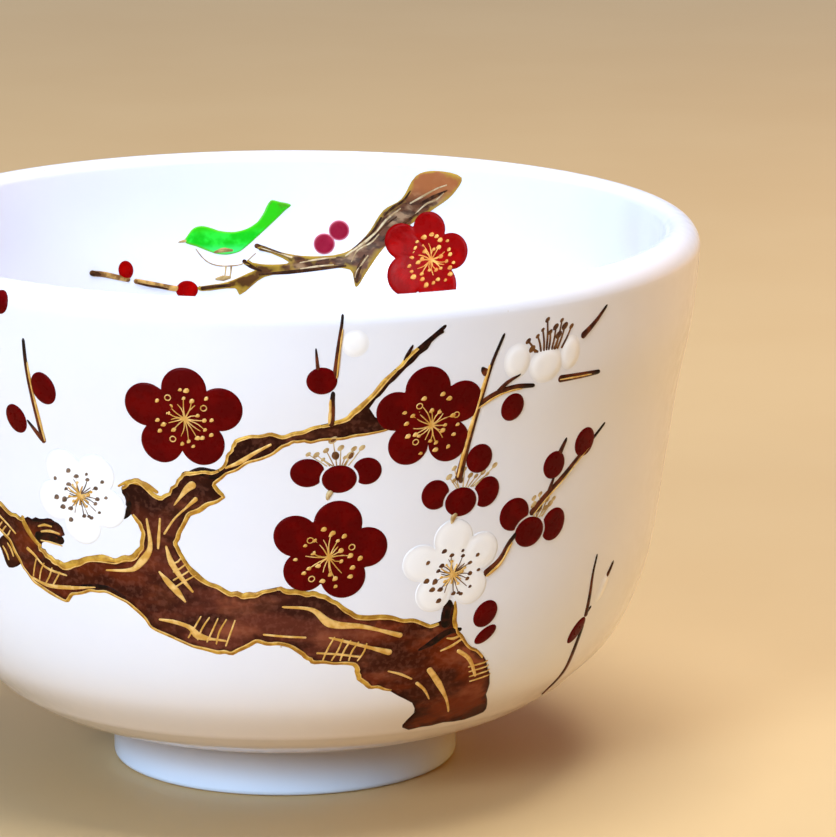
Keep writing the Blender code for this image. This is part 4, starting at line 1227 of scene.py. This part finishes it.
def inside_painting(red, pink, bark, shade, streaks, faint, green):
    place, petals = INSIDE_BLOSSOM
    profile = petal_profile(petals, PETAL_RISE)
    blossom("inside_blossom", place, petals, profile, red, "bright_red_enamel", over_branch, True)
    buds(INSIDE_BUDS, PETAL_RISE, red, "bright_red_enamel", inside=True)
    buds(INSIDE_PINK_BUDS, PETAL_RISE, pink, "bright_red_enamel", inside=True)
    paint = Paint(inside=True)
    paint.filled(BRANCH_OUTLINE, TRUNK_RISE)
    paint.piece("inside_branch_enamel", bark, "brown_enamel", ["inside_branch"])
    straw = gold_material("straw_enamel", colour(202, 160, 88), colour(118, 78, 32))
    for name, (root, tip, route) in INSIDE_TWIGS.items():
        twig = Paint(inside=True)
        twig.stroke(route, [root, (root + tip) / 2, tip], TRUNK_RISE)
        twig.piece(name + "_enamel", straw, "brown_enamel", [name])
    bird = Paint(inside=True)
    bird.filled(BIRD_OUTLINE, TRUNK_RISE)
    bird.piece("warbler_enamel", green, "green_enamel", ["warbler"])
    for routes, name, finish, slot in ((BRANCH_DARK, "inside_branch_streaks", shade, "brown_enamel"),
                                       (BRANCH_STROKES, "inside_branch_gold", streaks, "gold_line")):
        lines = Paint(over_inside_twigs, True)
        lines.strokes(routes)
        lines.piece(name, finish, slot)
    drawn = Paint(over_bird, True)
    drawn.strokes(BIRD_LINES)
    drawn.piece("warbler_lines", faint, "gold_line")


def painting():
    red = red_material("red_enamel", colour(82, 0, 2), colour(97, 1, 2), colour(88, 0, 4))
    bright = red_material("bright_red_enamel", colour(136, 0, 0), colour(158, 1, 0), colour(128, 0, 1))
    pink = red_material("raspberry_enamel", colour(138, 20, 48), colour(156, 34, 62), colour(208, 124, 142))
    white = white_material()
    gold = gold_material("gold", colour(204, 160, 58), colour(162, 114, 28))
    pale = gold_material("pale_gold", colour(232, 194, 120), colour(206, 158, 72))
    brown = gold_material("brown_stamens", colour(112, 70, 30), colour(70, 34, 20))
    grey = gold_material("grey_stamens", colour(128, 104, 88), colour(86, 64, 50))
    faint = gold_material("thin_gold", colour(186, 158, 104), colour(140, 108, 58))
    orange = gold_material("orange_gold", colour(236, 184, 92), colour(214, 136, 54))

    dark = stub_material("dark_bark_enamel", colour(16, 5, 3), colour(50, 18, 9))
    trunk_pieces(bark_material(), dark, gold, pale)
    twig_pieces(twig_material(), pale)
    for number, (name, (place, petals)) in enumerate(RED_BLOSSOMS.items()):
        profile = petal_profile(petals, PETAL_RISE)
        blossom(name, place, petals, profile, red, "red_enamel", over_trunk)
        paint = Paint(over_shape(place, profile, False))
        stamens(paint, place, seed=number + 3, **RED_STAMENS)
        paint.piece(name + "_stamens", pale, "gold_line")
    half_blossom("white_half_blossom", *WHITE_BLOSSOMS["white_half_blossom"], WHITE_RISE, white, "white_enamel")
    for name, heads in (("white_blossom_right", brown), ("white_blossom_left", grey)):
        place, petals = WHITE_BLOSSOMS[name]
        profile = petal_profile(petals, WHITE_RISE, WHITE_EDGE, soft)
        blossom(name, place, petals, profile, white, "white_enamel", over_trunk)
        paint = Paint(over_shape(place, profile, False))
        stamens(paint, place, seed=21, **PALE_STAMENS)
        paint.piece(name + "_stamens", heads, "gold_line")
        heart = Paint(over_shape(place, lambda moves, under=profile: under(moves) + GOLD_RISE, False))
        stamens(heart, place, seed=22, **HEART_STAMENS)
        heart.piece(name + "_heart", pale, "gold_line")
    buds(RED_BUDS, PETAL_RISE, red, "red_enamel", over_trunk)
    buds(WHITE_BUDS, WHITE_RISE, white, "white_enamel", edge_width=WHITE_EDGE, edge=soft)
    nodding_stamens(gold_material("thin_pale_gold", colour(204, 182, 136), colour(160, 128, 78)), brown)
    streaks = gold_material("pale_streaks", colour(202, 184, 148), colour(164, 136, 94))
    shade = stub_material("inside_streaks", colour(48, 24, 10), colour(84, 50, 24))
    inside_painting(bright, pink, inside_bark_material(), shade, streaks, faint, bird_material())
    place, petals = INSIDE_BLOSSOM
    paint = Paint(over_shape(place, petal_profile(petals, PETAL_RISE), True), True)
    stamens(paint, place, seed=40, **INSIDE_STAMENS)
    paint.piece("inside_blossom_stamens", orange, "gold_line")


def over_shape(place, profile, inside):
    """A function that gives how high the petals round a place stand at any places."""
    def lift(places):
        side = -1 if inside else 1
        right = side * (places[:, 0] - place[0]) * mm_per_degree(place[1], inside)
        return profile(np.column_stack([right, places[:, 1] - place[1]]))
    return lift


# ---------------------------------------------------------------- the studio

def camera():
    data = bpy.data.cameras.new("camera")
    data.lens = CAMERA_LENS
    data.clip_start = 0.01
    made = add_object("camera", data)
    made.location = CAMERA_PLACE
    made.rotation_euler = (math.radians(90 + CAMERA_PITCH), 0, math.radians(-CAMERA_YAW))
    bpy.context.scene.camera = made


def area_light(name, place, size, power, tint):
    """A square soft light, aimed at the middle of the bowl. Place and size are in metres, power in watts."""
    data = bpy.data.lights.new(name, "AREA")
    data.size = size
    data.energy = power
    data.color = tint
    made = add_object(name, data)
    made.location = place
    aim = np.array([0, 0, HEIGHT / 2 * MM]) - np.array(place)
    across = math.atan2(aim[1], aim[0])
    down = math.atan2(-aim[2], math.hypot(aim[0], aim[1]))
    made.rotation_euler = (math.pi / 2 - down, 0, across - math.pi / 2)
    return made


def backdrop():
    """A world that lights the bowl dimly, cool with a warm right, and that the camera sees as the pale backdrop."""
    world = bpy.data.worlds.new("studio")
    world.use_nodes = True
    tree = world.node_tree
    join = tree.links.new
    direction = tree.nodes.new("ShaderNodeTexCoord")
    parts = tree.nodes.new("ShaderNodeSeparateXYZ")
    join(direction.outputs["Generated"], parts.inputs["Vector"])
    warmth = tree.nodes.new("ShaderNodeMapRange")
    warmth.inputs["From Min"].default_value = WARM_FROM
    warmth.inputs["From Max"].default_value = WARM_TO
    join(parts.outputs["X"], warmth.inputs["Value"])
    tint = tree.nodes.new("ShaderNodeMix")
    tint.data_type = "RGBA"
    tint.inputs[6].default_value = WORLD_COOL
    tint.inputs[7].default_value = WORLD_WARM
    join(warmth.outputs["Result"], tint.inputs["Factor"])
    dim = tree.nodes["Background"]
    join(tint.outputs[2], dim.inputs["Color"])
    dim.inputs["Strength"].default_value = WORLD_STRENGTH
    seen = tree.nodes.new("ShaderNodeBackground")
    seen.inputs["Color"].default_value = BACKDROP
    rays = tree.nodes.new("ShaderNodeLightPath")
    blend = tree.nodes.new("ShaderNodeMixShader")
    join(rays.outputs["Is Camera Ray"], blend.inputs[0])
    join(dim.outputs["Background"], blend.inputs[1])
    join(seen.outputs["Background"], blend.inputs[2])
    join(blend.outputs["Shader"], tree.nodes["World Output"].inputs["Surface"])
    bpy.context.scene.world = world


def studio():
    mesh = bpy.data.meshes.new("floor")
    corners = [(x * FLOOR_REACH, y * FLOOR_REACH, 0) for x, y in ((-1, -1), (1, -1), (1, 1), (-1, 1))]
    mesh.from_pydata(corners, [], [(0, 1, 2, 3)])
    mesh.materials.append(floor_material())
    add_object("floor", mesh)
    area_light("key", *KEY_LIGHT)
    area_light("top", *TOP_LIGHT)
    area_light("warm_side", *WARM_LIGHT).visible_glossy = False
    backdrop()
    bpy.context.scene.view_settings.view_transform = "Standard"


camera()
studio()
glaze = glaze_material()
bowl(glaze)
foot(glaze)
painting()
